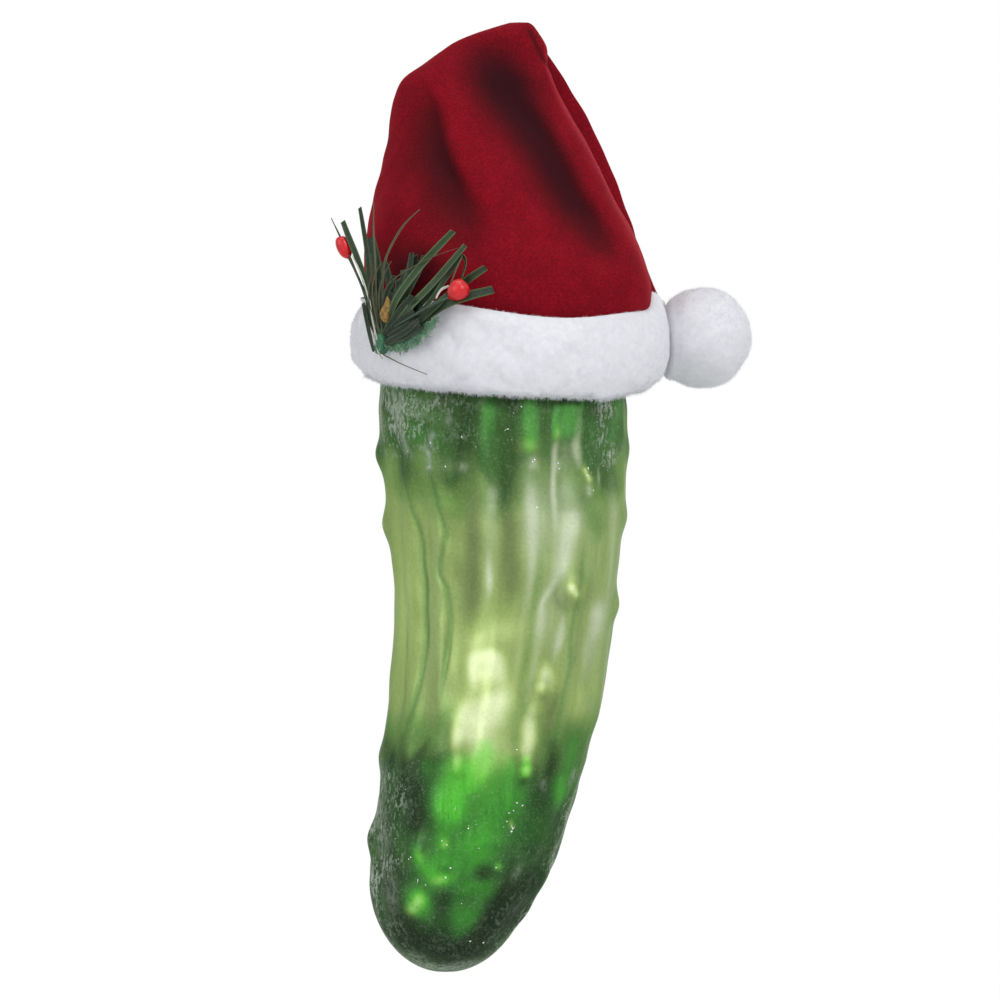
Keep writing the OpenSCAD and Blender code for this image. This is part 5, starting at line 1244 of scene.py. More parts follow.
# Each needle: layer; width; tone from dark to lit; lift at its two ends; twist at its two ends; its places as x, z
BROAD_NEEDLES = [
    (0, 0.82, 0.5, (0.2, 0.7), (15, 30), [[-16.7, -21.2], [-17.8, -14.8], [-19.2, -10.6], [-20.3, -7.9],
     [-21.1, -5.8]]),
    (0, 0.85, 0.25, (0.3, 0.5), (-10, -25), [[-16.4, -20.9], [-17.4, -14.9], [-17.9, -9.6], [-18.4, -6.3],
     [-18.8, -4]]),
    (0, 1.5, 0.2, (0.4, 0.3), (0, 10), [[-16, -20.7], [-16.3, -14.9], [-16.7, -11.2], [-17.4, -8]]),
    (-1, 0.95, 1, (0.5, 1.8), (0, 15), [[-15.4, -20.4], [-14, -16.3], [-10.9, -12], [-8.2, -9.1], [-6.5, -7.4]]),
    (-1, 0.95, 0.9, (0.7, 1.8), (5, -15), [[-15, -20.7], [-12.2, -17.3], [-9.3, -14.3], [-6.9, -11.6], [-4.9, -9.3]]),
    (0, 1.05, 0.45, (0.3, 0.8), (0, 10), [[-14.8, -21.1], [-9.5, -17.6], [-6.2, -15], [-4.3, -13.5], [-2.3, -12.2]]),
    (-1, 1.3, 0.35, (0.4, 0.9), (0, -10), [[-14.6, -21.5], [-10.2, -18.6], [-7.2, -16.8], [-4.3, -15.8],
     [-1.3, -15.1]]),
]
SHORT_NEEDLES = [
    (-1, 0.55, 0.15, (0.5, 0.3), (10, 30), [[-17, -23], [-17.8, -19.5], [-18.4, -16.6]]),
    (0, 1, 0.1, (0.3, 0.3), (0, 30), [[-15.6, -20.7], [-14.7, -16.2], [-15, -13.6], [-15.6, -11.2]]),
    (1, 1.1, 0.15, (0.2, 0.6), (0, -20), [[-15.4, -20.2], [-13.8, -16.2], [-12.4, -12.9], [-11.9, -10.1]]),
    (1, 0.9, 0.2, (0.2, 0.6), (10, 0), [[-15.2, -20.4], [-13, -16.2], [-11.1, -12.6], [-10.3, -10.5]]),
    (-3, 0.95, 0.1, (0.5, 0.8), (0, 25), [[-15.4, -22.1], [-13.8, -21.2], [-11.9, -20.1]]),
    (-2, 0.85, 0.3, (0.4, 0.8), (0, -15), [[-15, -21.2], [-11.5, -19.5], [-8.7, -17.2], [-7.3, -15.8]]),
    (-2, 1.1, 0.15, (0.5, 0.9), (0, 20), [[-15.4, -20.4], [-13.5, -17.8], [-11.8, -15.9]]),
    (-1, 0.95, 0.1, (0.3, 0.7), (0, -20), [[-15.6, -19.9], [-14.3, -16.6], [-13.2, -14.2]]),
    (-2, 1, 0.2, (0.4, 0.7), (10, -10), [[-15.1, -21.2], [-12.8, -19.9], [-10.3, -17.8]]),
    (-1, 0.8, 0.2, (0.3, 0.8), (0, 15), [[-16.2, -20.1], [-15.6, -16.2], [-14.2, -13.1]]),
    (0, 1.3, 0.05, (0.3, 0.5), (0, 15), [[-15.5, -21], [-13.4, -18.6], [-10.8, -16.9]]),
    (0, 1.4, 0, (0.3, 0.5), (-10, 15), [[-15.4, -21.3], [-12.6, -20.3], [-9.6, -18.9]]),
    (0, 1.1, 0.05, (0.3, 0.5), (0, 20), [[-16.3, -20.6], [-16.9, -17], [-16.6, -13.6]]),
    (0, 1.3, 0, (0.3, 0.5), (0, -15), [[-15.6, -20.2], [-14.3, -17.4], [-12.8, -14.8]]),
    (1, 1, 0.1, (0.2, 0.5), (0, 15), [[-15.2, -20.8], [-12.4, -18.2], [-9.6, -15.4], [-7.9, -13]]),
    (0, 0.9, 0.1, (0.3, 0.4), (0, 20), [[-16.6, -21], [-17.6, -17.4], [-17.4, -14]]),
    (-3, 0.8, 0.15, (0.6, 1), (20, -20), [[-15.3, -21.6], [-13, -20.7], [-11, -19]]),
    (-2, 1.3, 0, (0.4, 0.7), (10, -10), [[-15.3, -20.9], [-13.4, -19.2], [-11.6, -18]]),
    (-3, 1.1, 0, (0.5, 0.8), (-15, 10), [[-15.2, -21.8], [-12.8, -21], [-10.6, -19.8]]),
    (-1, 1.2, 0, (0.3, 0.5), (0, 15), [[-15.9, -20.3], [-15.2, -17.6], [-14.4, -15.2]]),
]
FINE_NEEDLES = [
    (0, 0.3, 0.1, (0.2, 0.2), (0, 0), [[-16.6, -22.5], [-18, -16.2], [-19.9, -11.1], [-21.4, -7.9], [-22.6, -5.4]]),
    (-1, 0.28, 0.8, (0.4, 0.6), (0, 0), [[-16.4, -20.1], [-16.7, -14.9], [-16.8, -10.9], [-17, -7.6], [-17, -3.4]]),
    (-1, 0.32, 0.6, (0.4, 1.2), (0, 20), [[-16, -19.1], [-15.8, -14.2], [-15.5, -11.2], [-14.6, -9], [-13, -6.4],
     [-11, -4.5]]),
    (-2, 0.2, 0.45, (0.5, 0.7), (0, 0), [[-16.2, -20.7], [-17.1, -16.2], [-17, -13.5], [-16, -11.2]]),
    (-2, 0.2, 0.35, (0.5, 0.7), (0, 0), [[-15.8, -20.7], [-16.3, -16.2], [-15.9, -13.6], [-14.7, -11.2]]),
    (-2, 0.18, 0.3, (0.5, 0.7), (0, 0), [[-16.3, -20.7], [-17.5, -16.8], [-17.6, -14.2], [-17, -12]]),
    (-2, 0.18, 0.25, (0.6, 1.6), (0, 0), [[-15.9, -17.5], [-15.5, -15], [-14.2, -13.4], [-12.2, -12.2],
     [-9.5, -10.8], [-6, -9.6]]),
    (-2, 0.22, 0.9, (1.2, 1.4), (0, 0), [[-6.9, -14.6], [-6.1, -12.4], [-5.3, -10.7]]),
]


def bunch(name, rows, thickness, **more):
    return joined(name, [blade(f"{name}_{i}", path, layer, width, thickness, tone, lift, twist, **more)
                         for i, (layer, width, tone, lift, twist, path) in enumerate(rows)])


broad = bunch("broad_film_needles", BROAD_NEEDLES, FILM_T)
short = bunch("short_film_needles", SHORT_NEEDLES, FILM_T)
fine = bunch("fine_film_needles", FINE_NEEDLES, 0.14, trough=0.03, root=0.9, tip=0.4, pointed=0.6)
looped_path = [[-14.6, -21.0], [-10.2, -17.3], [-7.6, -13.7], [-6.0, -11.3], [-5.2, -10.6], [-4.8, -11.4],
               [-5.2, -13.1], [-6.1, -14.7]]
looped = blade("looped_needle", looped_path, -1, 0.68, FILM_T, 0.4, (0.4, 1.6), twist=(0, 60))
# Two pale slivers lie in the bunch
slivers = joined("pale_slivers", [
    blade("sliver_1", [[-16.2, -22.8], [-17.1, -19.1], [-17.6, -16.2], [-18.8, -12.5], [-19.9, -10.3]], -2, 0.24,
          0.12, 1.0, (0.5, 0.6), trough=0.0, tip=0.5),
    blade("sliver_2", [[-8.7, -16.2], [-8.4, -15.5], [-7.9, -14.9], [-7.0, -14.5]], -3, 0.36, 0.12, 1.0, (1.0, 1.3),
          trough=0.0, tip=0.7)])


def leaf(name, path, layer, width, teeth, jag, lift, tone):
    """A stamped film leaf with a raised midrib and a torn, toothed edge."""
    line = fan_line(path, layer, lift, 60)
    t = np.linspace(0, 1, len(line))
    _, face, wide = strip_frame(line)
    a = circle(22)
    across = np.sign(np.cos(a)) * np.abs(np.cos(a)) ** 0.8
    rings = []
    for p, f, w, u in zip(line, face, wide, t):
        saw = np.where(across > 0, (u * teeth) % 1, (u * teeth + 0.4) % 1)
        torn = 1 + jag * (np.abs(saw - 0.35) - 0.3) * np.abs(across) + 0.08 * math.sin(u * 61) * np.abs(across)
        h = width / 2 * math.sin(math.pi * min(max(u, 0.02), 0.985) ** 0.8) ** 0.75
        curl = 0.3 * np.abs(across) ** 1.5 * h + 0.12 * np.sin(u * 22 + across * 2) * np.abs(across)
        rise = 0.08 * np.sin(a) + 0.14 * bell(across / 0.12) * np.sign(np.sin(a) + 0.5) - curl
        rings.append(p + (across * h * torn)[:, None] * w + rise[:, None] * f)
    return film_piece(name, rings, across, tone)


front_leaf = leaf("front_leaf", [[-15.5, -22.3], [-13.2, -21.9], [-10.9, -20.7], [-8.5, -18.8]], -2, 2.3, 8, 0.8,
                  (0.4, 0.7), 0.8)
back_leaf = leaf("back_leaf", [[-15.4, -19.6], [-13.9, -15.8], [-12.4, -12.6], [-11.2, -10.2]], 2, 2.4, 7, 0.9,
                 (0.1, 0.4), 0.1)


def wound_stem():
    """Floral tape wound round the bound needles, with the wraps' steps showing."""
    t = np.linspace(0, 1, 64)[:, None]
    a = circle(44)[None, :]
    profile = np.interp(t, [0, 0.05, 0.15, 0.3, 0.55, 0.82, 0.94, 1], [0.45, 0.66, 0.8, 0.9, 0.88, 0.66, 0.5, 0.36])
    wrap = (t * 4.2 + a / (2 * np.pi)) % 1
    r = 1.15 * profile * (1 + 0.05 * np.sin(3 * a + 5 * t)) + 0.09 * wrap - 0.03
    lean = 0.25 * (t - 0.5)
    points = np.stack([SPRIG[0] + r * np.sin(a) + lean, SPRIG[1] - 0.3 - r * np.cos(a),
                       STEM_LOW_Z + (STEM_TOP_Z - STEM_LOW_Z) * t + 0 * a], -1)
    return lofted("wound_stem", capped(points))


stem = wound_stem()


def strand(name, path, layer, radius, lift, taper, count=26):
    """A thin round strand along a path of x, z places, thinner towards its end."""
    rings = strand_rings(fan_line(path, layer, lift, count), radius * np.linspace(1, taper, count))
    return lofted(name, rings, {"tone": np.ones(rings.shape[:2])})


stray = strand("stray_strand", [[-16.0, -23.2], [-14.8, -23.9], [-12.8, -24.9], [-9.9, -26.1]], -1, 0.09,
               (0.1, 0.2), 0.55)
BERRY_RIGHT, BERRY_LEFT = np.array([-5.8, -21.3, -15.1]), np.array([-21.0, -11.7, -9.1])


def berry(name, centre, half_x, half_z, lean, seed):
    """A lacquered berry: an egg with a dimple where its wire goes in and a little drip at the other end."""
    polar = np.linspace(0, np.pi, 41)[:, None]
    a = circle(48)[None, :]
    r = np.sin(polar) * (1 + 0.1 * np.cos(polar))
    z = -np.cos(polar) + 0.1 * bell(polar / 0.25) + 0.06 * bell((polar - np.pi) / 0.2)
    ball = np.stack([r * np.cos(a), r * np.sin(a), z + 0 * a], -1)
    ball = ball * (1 + 0.025 * swell(ball, 1.2, seed))[..., None] * [half_x, half_x, half_z]
    return lofted(name, leaned(ball, lean) + centre)


right_berry = berry("right_berry", BERRY_RIGHT, 1.38, 1.55, -2.3, 51)
left_berry = berry("left_berry", BERRY_LEFT, 0.98, 1.62, 2.75, 52)


BERRY_WIRE_R = 0.17


def wire(name, *points):
    """A berry's paper-wound wire through points in mm."""
    return lofted(name, strand_rings(smooth_path(points, 30), BERRY_WIRE_R))


right_wire = wire("right_berry_wire", sprig_point(-15.4, -20.4, -1, 0.3), sprig_point(-12.0, -18.6, -3, 0.8),
                  sprig_point(-8.8, -16.8, -3, 1.0), BERRY_RIGHT + [-0.9, 0.1, -0.9])
left_wire = wire("left_berry_wire", sprig_point(-16.1, -20.4, 0, 0.2), sprig_point(-17.7, -16.4, 0, 0.2),
                 sprig_point(-19.4, -12.4, 0, 0.1), BERRY_LEFT + [0.6, 0, -1.3])


def scale_piece():
    """A dry cone scale with a ribbed back, its lower end in the bunch."""
    centre = sprig_point(-15.3, -17.5, -3, 0.5)
    t = np.linspace(0.02, 0.98, 30)[:, None]
    a = circle(24)[None, :]
    r = 0.62 * np.sin(np.pi * t ** 0.75) ** 0.8
    ribs = 1 + 0.1 * np.cos(6 * a)
    x = r * np.cos(a) * ribs
    y = 0.45 * r * np.sin(a) * ribs
    z = (t - 0.5) * 3.6 + 0 * a
    points = np.stack([x + 0.12 * np.sin(2.2 * z), y, z], -1)
    return lofted("dry_scale", capped(leaned(points, 0.12) + centre))


scale = scale_piece()
binding_wires = joined("binding_wires", [
    strand("binding_wire_1", [[-16.9, -19.2], [-16.8, -21.4], [-16.3, -23.4]], -2, 0.13, (0.3, 0.3), 0.9, 20),
    strand("binding_wire_2", [[-16.6, -22.4], [-16.3, -23.2], [-15.8, -24.0]], -2, 0.1, (0.4, 0.3), 0.9, 20)])


def all_over(points, normals):
    return np.ones(len(points))


leaf_fuzz = pile("leaf_fuzz", front_leaf, 900, all_over, 43, length=(0.25, 0.9), width=0.03, lean=1.6)

# ---------------------------------------------------------------- materials
def lacquered_glass():
    """Blown glass silvered inside, with a satin translucent green lacquer sprayed on by hand: the silver gives a
    deep soft metal gloss, the lacquer is thin and pale at the middle, pools dark in the creases and at both ends.
    Painted reflections, highlights and shade lie in its colour too."""
    m = new_material("silvered_glass_satin_lacquer")
    low, dark_end, olive, crease, pale, green, shade, glow, wart, frost, smear = (
        add(m, "Attribute", attribute_name=name) for name in (
            "low", "dark", "olive", "crease", "pale", "green", "shade", "glow", "wart", "frost", "smear"))
    streaks = grain(m, 2.6, 2, stretch=(1, 1, 0.12))
    fine_streaks = grain(m, 0.8, 2, stretch=(1, 1, 0.14))
    cloud = grain(m, 4)
    mottle = grain(m, 0.45, roughness=0.65)
    middle = add(m, "ValToRGB", {0: streaks}, [(0.3, "#839a5a"), (0.5, "#92a864"), (0.7, "#a1b676")])
    middle = laid(m, middle, "#7f9459", fine_streaks, [(0.4, 0.0), (0.7, 0.28)])
    top = add(m, "ValToRGB", {0: streaks}, [(0.34, "#305027"), (0.66, "#456d36")])
    bottom = add(m, "ValToRGB", {0: cloud}, [(0.35, "#253f24"), (0.65, "#375930")])
    edge_noise = add(m, "Math", {0: streaks, 1: 0.6, 2: -0.3}, operation="MULTIPLY_ADD")
    amount = add(m, "Math", {0: dark_end, 1: edge_noise}, operation="ADD", use_clamp=True)
    colour = laid(m, middle, laid(m, top, bottom, low), amount, [(0.1, 0.0), (0.85, 1.0)])
    # Between the pale middle and the dark ends the lacquer passes through a fresh green
    fresh = laid(m, "#5f8c42", "#4b843a", low)
    colour = laid(m, colour, fresh, amount, [(0.0, 0.0), (0.4, 0.7), (0.8, 0.0)], 0.8)
    in_dark = add(m, "ValToRGB", {0: amount}, [(0.3, 0.0), (0.8, 1.0)])
    # Painted shade between the painted reflections and on the warts' shaded sides
    colour = laid(m, colour, laid(m, "#66764a", "#39562f", in_dark), olive, most=0.78)
    colour = laid(m, colour, laid(m, "#42793c", "#1c3321", in_dark), crease, most=0.55)
    # Painted reflections of the lamps in the silver, as whitish streaks
    pale_tones = add(m, "ValToRGB", {0: pale}, [(0.2, "#a4b784"), (0.9, "#ccd7ba")])
    colour = laid(m, colour, pale_tones, pale, most=0.9)
    # The green windows, thin lacquer with a painted reflection in it: the stronger the mark, the fresher the green
    top = add(m, "ValToRGB", {0: green}, [(0.2, "#44703a"), (0.55, "#4f8c44"), (0.95, "#569f49")])
    bottom = add(m, "ValToRGB", {0: green}, [(0.2, "#34652e"), (0.5, "#3f8636"), (0.8, "#48a438"), (1.0, "#54c23a")])
    greens = laid(m, laid(m, top, bottom, low), "#2f6a2c", fine_streaks, [(0.35, 0.25), (0.55, 0.0)])
    colour = laid(m, colour, greens, green, [(0.0, 0.0), (0.4, 0.7), (0.85, 1.0)])
    # Nearly black: thick lacquer, and a painted shadow under the cuff
    colour = laid(m, colour, laid(m, "#263821", "#1b281c", low), shade, most=0.92)
    # Painted highlights: warm yellow on the pale middle, a lit green on the green windows
    warm = add(m, "ValToRGB", {0: glow}, [(0.15, "#a9c06c"), (0.5, "#c0d689"), (0.95, "#e6f4bd")])
    lit_green = add(m, "ValToRGB", {0: glow}, [(0.15, "#6cc444"), (0.5, "#8fd85e"), (0.95, "#b4f48a")])
    strength = add(m, "ValToRGB", {0: glow}, [(0.0, 0.0), (0.5, 0.65), (0.95, 1.0)])
    uneven = add(m, "ValToRGB", {0: cloud}, [(0.3, 0.85), (0.5, 1.0)])
    glowing = add(m, "Math", {0: strength, 1: uneven}, operation="MULTIPLY", use_clamp=True)
    colour = laid(m, colour, laid(m, warm, lit_green, green, [(0.15, 0.0), (0.85, 1.0)]), glowing)
    # Warts carry a thin ring of pooled lacquer
    colour = laid(m, colour, "#4c7443", wart, [(0.05, 0.0), (0.25, 0.22), (0.5, 0.0)])
    # The lacquer's film is faintly mottled all over
    colour = laid(m, colour, "#3f5a33", mottle, [(0.35, 0.1), (0.5, 0.0)])
    colour = laid(m, colour, "#c4d4a6", mottle, [(0.52, 0.0), (0.7, 0.08)])
    # Tiny pits and dust, drawn coarser than they are: pale and dark pinpoints in the dark ends
    pits = grain(m, 0.28, 2, 0.5)
    patchy = add(m, "ValToRGB", {0: grain(m, 3.2, 2)}, [(0.4, 0.15), (0.6, 1.0)])
    patchy = add(m, "Math", {0: in_dark, 1: patchy}, operation="MULTIPLY")
    colour = laid(m, colour, "#94a58c", pits, [(0.62, 0.0), (0.7, 0.35)], patchy)
    colour = laid(m, colour, "#1c2c1c", pits, [(0.3, 0.4), (0.4, 0.0)], patchy)
    # Frost: a thin dusting of crushed grains in short clumped flecks, and grey smears where it was rubbed on
    flecks = grain(m, 0.65, 2, 0.6, (1.25, 1.25, 0.7))
    thick = add(m, "Math", {0: frost, 1: 0.07, 2: flecks}, operation="MULTIPLY_ADD")
    dust = add(m, "ValToRGB", {0: thick}, [(0.51, 0.0), (0.61, 1.0)])
    clumps = add(m, "ValToRGB", {0: grain(m, 2.2)}, [(0.4, 0.1), (0.52, 1.0)])
    dust = add(m, "Math", {0: dust, 1: clumps}, operation="MULTIPLY")
    share = add(m, "ValToRGB", {0: frost}, [(0.05, 0.0), (0.8, 0.85)])
    dusted = add(m, "Math", {0: dust, 1: share}, operation="MULTIPLY", use_clamp=True)
    share = add(m, "ValToRGB", {0: flecks}, [(0.36, 0.15), (0.56, 0.85)])
    rubbed = add(m, "Math", {0: smear, 1: share}, operation="MULTIPLY", use_clamp=True)
    dusted = add(m, "Math", {0: dusted, 1: rubbed}, operation="MAXIMUM")
    texture = add(m, "Bump", {"Height": mottle, "Distance": 0.03 * MM, "Strength": 0.4})
    return finish_material(m, {
        "Base Color": laid(m, colour, "#b2beae", dusted, most=0.85),
        "Roughness": add(m, "Math", {0: dusted, 1: 0.3, 2: 0.34}, operation="MULTIPLY_ADD"),
        "Metallic": add(m, "Math", {0: dusted, 1: -0.45, 2: 0.6}, operation="MULTIPLY_ADD"),
        "Normal": add(m, "Bump", {"Height": dusted, "Distance": 0.07 * MM, "Strength": 0.8, "Normal": texture}),
        "Coat Weight": 0.06, "Coat Roughness": 0.25, "Coat IOR": 1.5, "Specular IOR Level": 0.2,
        "Specular Tint": "#9db88a"})


def velvet():
    """Micro velvet, woven polyester with a cut pile: dark where the eye looks down into it, a rosy sheen where it is
    seen flat, faint crushed patches, a painted highlight along the rolled edge and painted shade in the folds."""
    m = new_material("red_micro_velvet")
    # The nap's tips are finer than a pixel, and are drawn as coarse as they need to show
    nap = grain(m, 0.3, 3, 0.75)
    crushed = grain(m, 4.5)
    base = add(m, "ValToRGB", {0: nap}, [(0.3, "#690411"), (0.5, "#7f0818"), (0.7, "#960f20")])
    base = laid(m, base, "#5a0812", crushed, [(0.35, 0.3), (0.55, 0.0)])
    base = laid(m, base, "#981424", crushed, [(0.55, 0.0), (0.75, 0.25)])
    # A painted highlight along the rolled edge
    base = laid(m, base, "#b02233", add(m, "Attribute", attribute_name="ridge"), most=0.45)
    # Painted shade: the folds' valleys, the tail's folds and the nook behind the sprig go dark
    fold = add(m, "ValToRGB", {0: add(m, "Attribute", attribute_name="fold")}, [(0.0, 0.0), (0.95, 0.93)])
    fold.node.color_ramp.interpolation = "EASE"
    return finish_material(m, {
        "Base Color": laid(m, base, "#200b10", fold), "Roughness": 0.85, "Specular IOR Level": 0.1,
        "Sheen Weight": 0.3, "Sheen Roughness": 0.4, "Sheen Tint": "#e8283a",
        "Normal": add(m, "Bump", {"Height": nap, "Distance": 0.12 * MM, "Strength": 0.55})})


def fleece():
    """Brushed polyester fleece: matt bluish white, with soft shallow tufts and no gloss."""
    m = new_material("white_brushed_fleece")
    # Single fibres are finer than a pixel, and their fluff is drawn as coarse as it needs to show
    tufts = grain(m, 0.9, 4, 0.6)
    fluff = grain(m, 0.22, 3, 0.7)
    texture = add(m, "Bump", {"Height": tufts, "Distance": 0.14 * MM, "Strength": 0.3})
    return finish_material(m, {
        "Base Color": add(m, "ValToRGB", {0: tufts}, [(0.3, "#e1e1e6"), (0.7, "#ebebee")]),
        "Roughness": 0.95, "Specular IOR Level": 0.1, "Sheen Weight": 0.25, "Sheen Roughness": 0.6,
        "Sheen Tint": "#f4f5ff", "Subsurface Weight": 0.25, "Subsurface Radius": (1, 1, 1),
        "Subsurface Scale": 0.0012,
        "Normal": add(m, "Bump", {"Height": fluff, "Distance": 0.07 * MM, "Strength": 0.5, "Normal": texture})})


def film(name, dark, mid, edge, lit, gloss):
    """Slit PVC film, printed dark on its face: satin, with lighter cut edges and fine pale scuffs, drawn coarser
    than they are; tone says how much light a strip has taken."""
    m = new_material(name)
    scuffs = grain(m, 0.2, 2, 0.7)
    tone, rim = (add(m, "Attribute", attribute_name=key) for key in ("tone", "edge"))
    colour = add(m, "ValToRGB", {0: grain(m, 0.9)}, [(0.3, dark), (0.7, mid)])
    colour = laid(m, colour, lit, tone, most=0.45)
    rim = add(m, "ValToRGB", {0: rim}, [(0.5, 0.0), (0.95, 1.0)])
    # The cut edges show lighter, and more so on the strips painted as lit
    rim_share = add(m, "Math", {0: tone, 1: 0.7, 2: 0.15}, operation="MULTIPLY_ADD")
    colour = laid(m, colour, edge, rim, most=rim_share)
    scuffed = add(m, "ValToRGB", {0: scuffs}, [(0.52, 0.0), (0.62, 1.0)])
    scuff_share = add(m, "Math", {0: rim, 1: 0.6, 2: 0.15}, operation="MULTIPLY_ADD")
    scuffed = add(m, "Math", {0: scuffed, 1: scuff_share}, operation="MULTIPLY")
    return finish_material(m, {
        "Base Color": laid(m, colour, edge, scuffed, most=0.7), "Roughness": gloss, "Specular IOR Level": 0.25,
        "Coat Weight": 0.06, "Coat Roughness": 0.3,
        "Normal": add(m, "Bump", {"Height": scuffs, "Distance": 0.05 * MM, "Strength": 0.5})})


def plain(name, low, high, size_mm, roughness, depth_mm=0.05, metallic=0.0, **settings):
    """A tone that varies over a grain of a real size, with that grain as its relief. The metals' grain and the
    threads' twist are finer than a pixel, and are drawn as coarse as they need to show."""
    m = new_material(name)
    uneven = grain(m, size_mm, 3, 0.6)
    rough = [(0.3, max(roughness - 0.08, 0.03)), (0.7, min(roughness + 0.1, 1))]
    return finish_material(m, {
        "Base Color": add(m, "ValToRGB", {0: uneven}, [(0.3, low), (0.7, high)]), "Metallic": metallic,
        "Roughness": add(m, "ValToRGB", {0: uneven}, rough),
        "Normal": add(m, "Bump", {"Height": uneven, "Distance": depth_mm * MM, "Strength": 0.5}),
        **{key.replace("_", " "): value for key, value in settings.items()}})


glass_lacquer = lacquered_glass()
red_velvet = velvet()
white_fleece = fleece()
needle_film = film("dark_green_slit_film", "#0e1a13", "#1b2d22", "#65784a", "#3a5832", 0.45)
olive_film = film("olive_slit_film", "#272f20", "#414a31", "#7c7659", "#6f674d", 0.5)
leaf_film = film("stamped_leaf_film", "#34573c", "#5a8465", "#93b59a", "#7ea888", 0.5)
# Pale slivers of film: greyish white, satin, with lighter edges
sliver_film = film("pale_film_sliver", "#8f9384", "#b9bdae", "#d8dacd", "#cfd2c4", 0.45)
# Stamped brass cap, lightly gilt: bright satin metal, faintly uneven
cap_metal = plain("gilt_stamped_brass", "#b08a3c", "#d9b965", 0.4, 0.3, 0.02, 1.0)
# Spring steel wire, drawn and plated: cool, smooth and bright
steel = plain("plated_spring_steel", "#a9acb0", "#c9ccd0", 0.3, 0.25, 0.01, 1.0)
# Spun polyester thread: matt, with its twist as a fine grain
red_thread = plain("red_sewing_thread", "#5f0d14", "#8c1c26", 0.15, 0.8, 0.05)
white_thread = plain("white_sewing_thread", "#d8d4c8", "#f0ede4", 0.15, 0.8, 0.05)
# Hot melt glue: waxy, slightly clear, with a soft gloss
glue = plain("hot_melt_glue", "#d9d0b4", "#ece6d2", 1.5, 0.35, 0.05, Subsurface_Weight=0.3,
             Subsurface_Scale=0.002)
# Crepe floral tape: stretched waxed paper, matt with fine wrinkles
tape = plain("green_floral_tape", "#234a35", "#4b8a63", 0.5, 0.7, 0.12)
# Dry cone scale: woody brown, rubbed golden in flecks
dry_scale = plain("dry_cone_scale", "#5c431f", "#a98440", 0.4, 0.7, 0.1)
# Glossy lacquer over a moulded foam berry: thick, wet-looking red
berry_lacquer = plain("glossy_berry_lacquer", "#c20d17", "#dd1c24", 0.8, 0.3, 0.03, Coat_Weight=0.2,
                      Coat_Roughness=0.15, Specular_IOR_Level=0.35)
# Paper-wound florist's wire: pale, matt, with dark flecks
berry_wire = plain("pale_wound_wire", "#8f8a78", "#d8d4c6", 0.3, 0.6, 0.05)
# The berries' wires are wound in dark green paper
dark_wire = plain("dark_wound_wire", "#1f3326", "#38523c", 0.3, 0.6, 0.05)
# Frost: crushed glass, clear white grains that catch the light
frost_glass = plain("crushed_glass_frost", "#b9c4b4", "#eef2ec", 0.3, 0.2, 0.02, Specular_IOR_Level=0.8)
# Glitter: aluminised film flakes, mirror bright
flake_metal = plain("aluminised_glitter", "#f4f8f2", "#ffffff", 0.3, 0.25, 0.01, 0.15)

# ---------------------------------------------------------------- dress and hang on the bodies
DRESS = [
    (glass, glass_lacquer, "ornament", "lacquered_glass", ["glass_body"]),
    (frost_grains, frost_glass, "ornament", "lacquered_glass", []),
    (glitter_flakes, flake_metal, "ornament", "lacquered_glass", []),
    (crown, red_velvet, "ornament", "red_velvet", ["hat_crown"]),
    (cuff, white_fleece, "ornament", "white_fleece", ["hat_cuff"]),
    (cuff_pile, white_fleece, "ornament", "white_fleece", []),
    (cuff_fringe, white_fleece, "ornament", "white_fleece", []),
    (cuff_brim, white_fleece, "ornament", "white_fleece", []),
    (pompom, white_fleece, "pompom", "white_fleece", ["pompom"]),
    (pompom_pile, white_fleece, "pompom", "white_fleece", []),
    (broad, needle_film, "ornament", "needle_film", ["broad_needles"]),
    (short, needle_film, "ornament", "needle_film", ["short_needles"]),
    (looped, needle_film, "ornament", "needle_film", []),
    (slivers, sliver_film, "ornament", "needle_film", []),
    (leaf_fuzz, leaf_film, "ornament", "leaf_film", []),
    (fine, olive_film, "ornament", "olive_film", ["fine_needles"]),
    (front_leaf, leaf_film, "ornament", "leaf_film", ["leaf_front"]),
    (back_leaf, needle_film, "ornament", "leaf_film", ["leaf_back"]),
    (stem, tape, "ornament", "stem_tape", ["stem_wrap"]),
    (stray, olive_film, "ornament", "olive_film", ["loose_strand"]),
    (right_berry, berry_lacquer, "ornament", "berry_lacquer", ["berry_right"]),
    (left_berry, berry_lacquer, "ornament", "berry_lacquer", ["berry_left"]),
    (right_wire, dark_wire, "ornament", "berry_wire", ["berry_wire_right"]),
    (left_wire, dark_wire, "ornament", "berry_wire", ["berry_wire_left"]),
    (scale, dry_scale, "ornament", "dried_scale", ["cone_scale"]),
    (binding_wires, berry_wire, "ornament", "berry_wire", []),
]
for obj, material, body, slot, nodes in DRESS:
    wear(obj, material)
    if nodes:
        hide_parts(*nodes)
    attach(obj, body)
wear(tail, red_velvet)
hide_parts("hat_tail")

NODE_MATERIALS = {"neck_cap": cap_metal, "hanger_wire": steel, "hat_glue": glue, "sprig_glue": glue,
                  "seam_stitches": red_thread, "hem_thread": white_thread, "pompom_thread": white_thread}
for node, material in NODE_MATERIALS.items():
    wear(bpy.data.objects[node], material)

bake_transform(tail)

# ---------------------------------------------------------------- floor, backdrop light and lamps
FLOOR_Z, FLOOR_SIZE = -135.0, 6
WHITE = (1, 1, 1, 1)


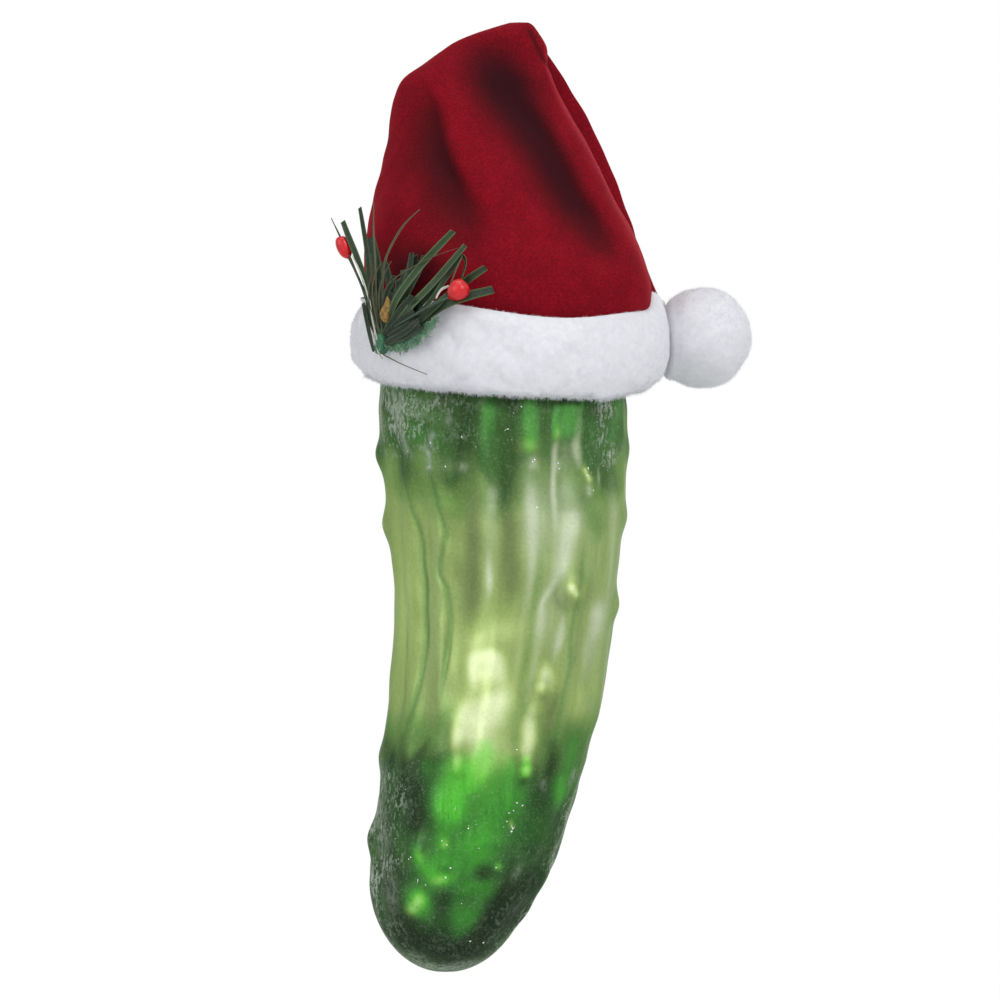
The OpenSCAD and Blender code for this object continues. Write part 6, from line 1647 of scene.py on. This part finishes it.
def stage_material():
    """Matt pale board that takes the piece's soft shadow close by and runs out to white further off."""
    m = new_material("pale_studio_board")
    board = add(m, "BsdfDiffuse", {"Color": "#ececec"})
    glow = add(m, "Emission", {"Color": WHITE, "Strength": 1.0})
    away = add(m, "VectorMath", {0: add(m, "TexCoord")}, out="Value", operation="LENGTH")
    share = add(m, "ValToRGB", {0: away}, [(0.05, 0.8), (0.4, 1.0)])
    share.node.color_ramp.interpolation = "EASE"
    share = add(m, "Math", {0: seen_straight(m), 1: share}, operation="MULTIPLY")
    add(m, "OutputMaterial", {"Surface": add(m, "MixShader", {0: share, 1: board, 2: glow})})
    return m


deselect()
bpy.ops.mesh.primitive_plane_add(size=FLOOR_SIZE, location=(0, 0, FLOOR_Z * MM))
floor = bpy.context.object
floor.name = "studio_floor"
wear(floor, stage_material())

world = bpy.data.worlds.new("studio_room")
bpy.context.scene.world = world
world.use_nodes = True
world.node_tree.nodes.clear()
# A cool dim room lights the piece, and the eye sees white behind it
ROOM_TINT, ROOM_STRENGTH = (0.93, 0.96, 1.0, 1), 0.38
room = add(world, "Background", {"Color": ROOM_TINT, "Strength": ROOM_STRENGTH})
white = add(world, "Background", {"Color": WHITE})
both = add(world, "MixShader", {0: seen_straight(world), 1: room, 2: white})
add(world, "OutputWorld", {"Surface": both})

CENTRE = Vector((0, 0, PHOTO_CENTRE[1])) * MM


def softbox(name, azimuth, elevation, distance, wide, tall, watts):
    """A lamp panel that looks at the piece's middle; lengths in metres."""
    a, e = math.radians(azimuth), math.radians(elevation)
    back = Vector((math.sin(a) * math.cos(e), -math.cos(a) * math.cos(e), math.sin(e)))
    data = bpy.data.lights.new(name, "AREA")
    data.shape = "RECTANGLE"
    data.size, data.size_y = wide, tall
    data.energy = watts
    lamp = bpy.data.objects.new(name, data)
    bpy.context.scene.collection.objects.link(lamp)
    lamp.location = CENTRE + back * distance
    lamp.rotation_mode = "QUATERNION"
    lamp.rotation_quaternion = (-back).to_track_quat("-Z", "Y")


softbox("key_softbox", 38, 30, 0.9, 0.5, 0.6, 3.4)
softbox("fill_softbox", -48, 18, 1.0, 0.6, 0.7, 2.5)
softbox("top_softbox", 0, 78, 0.8, 0.5, 0.4, 1.5)
softbox("rear_softbox", 160, 25, 1.0, 0.6, 0.6, 1.6)

bpy.context.scene.view_settings.view_transform = "Standard"
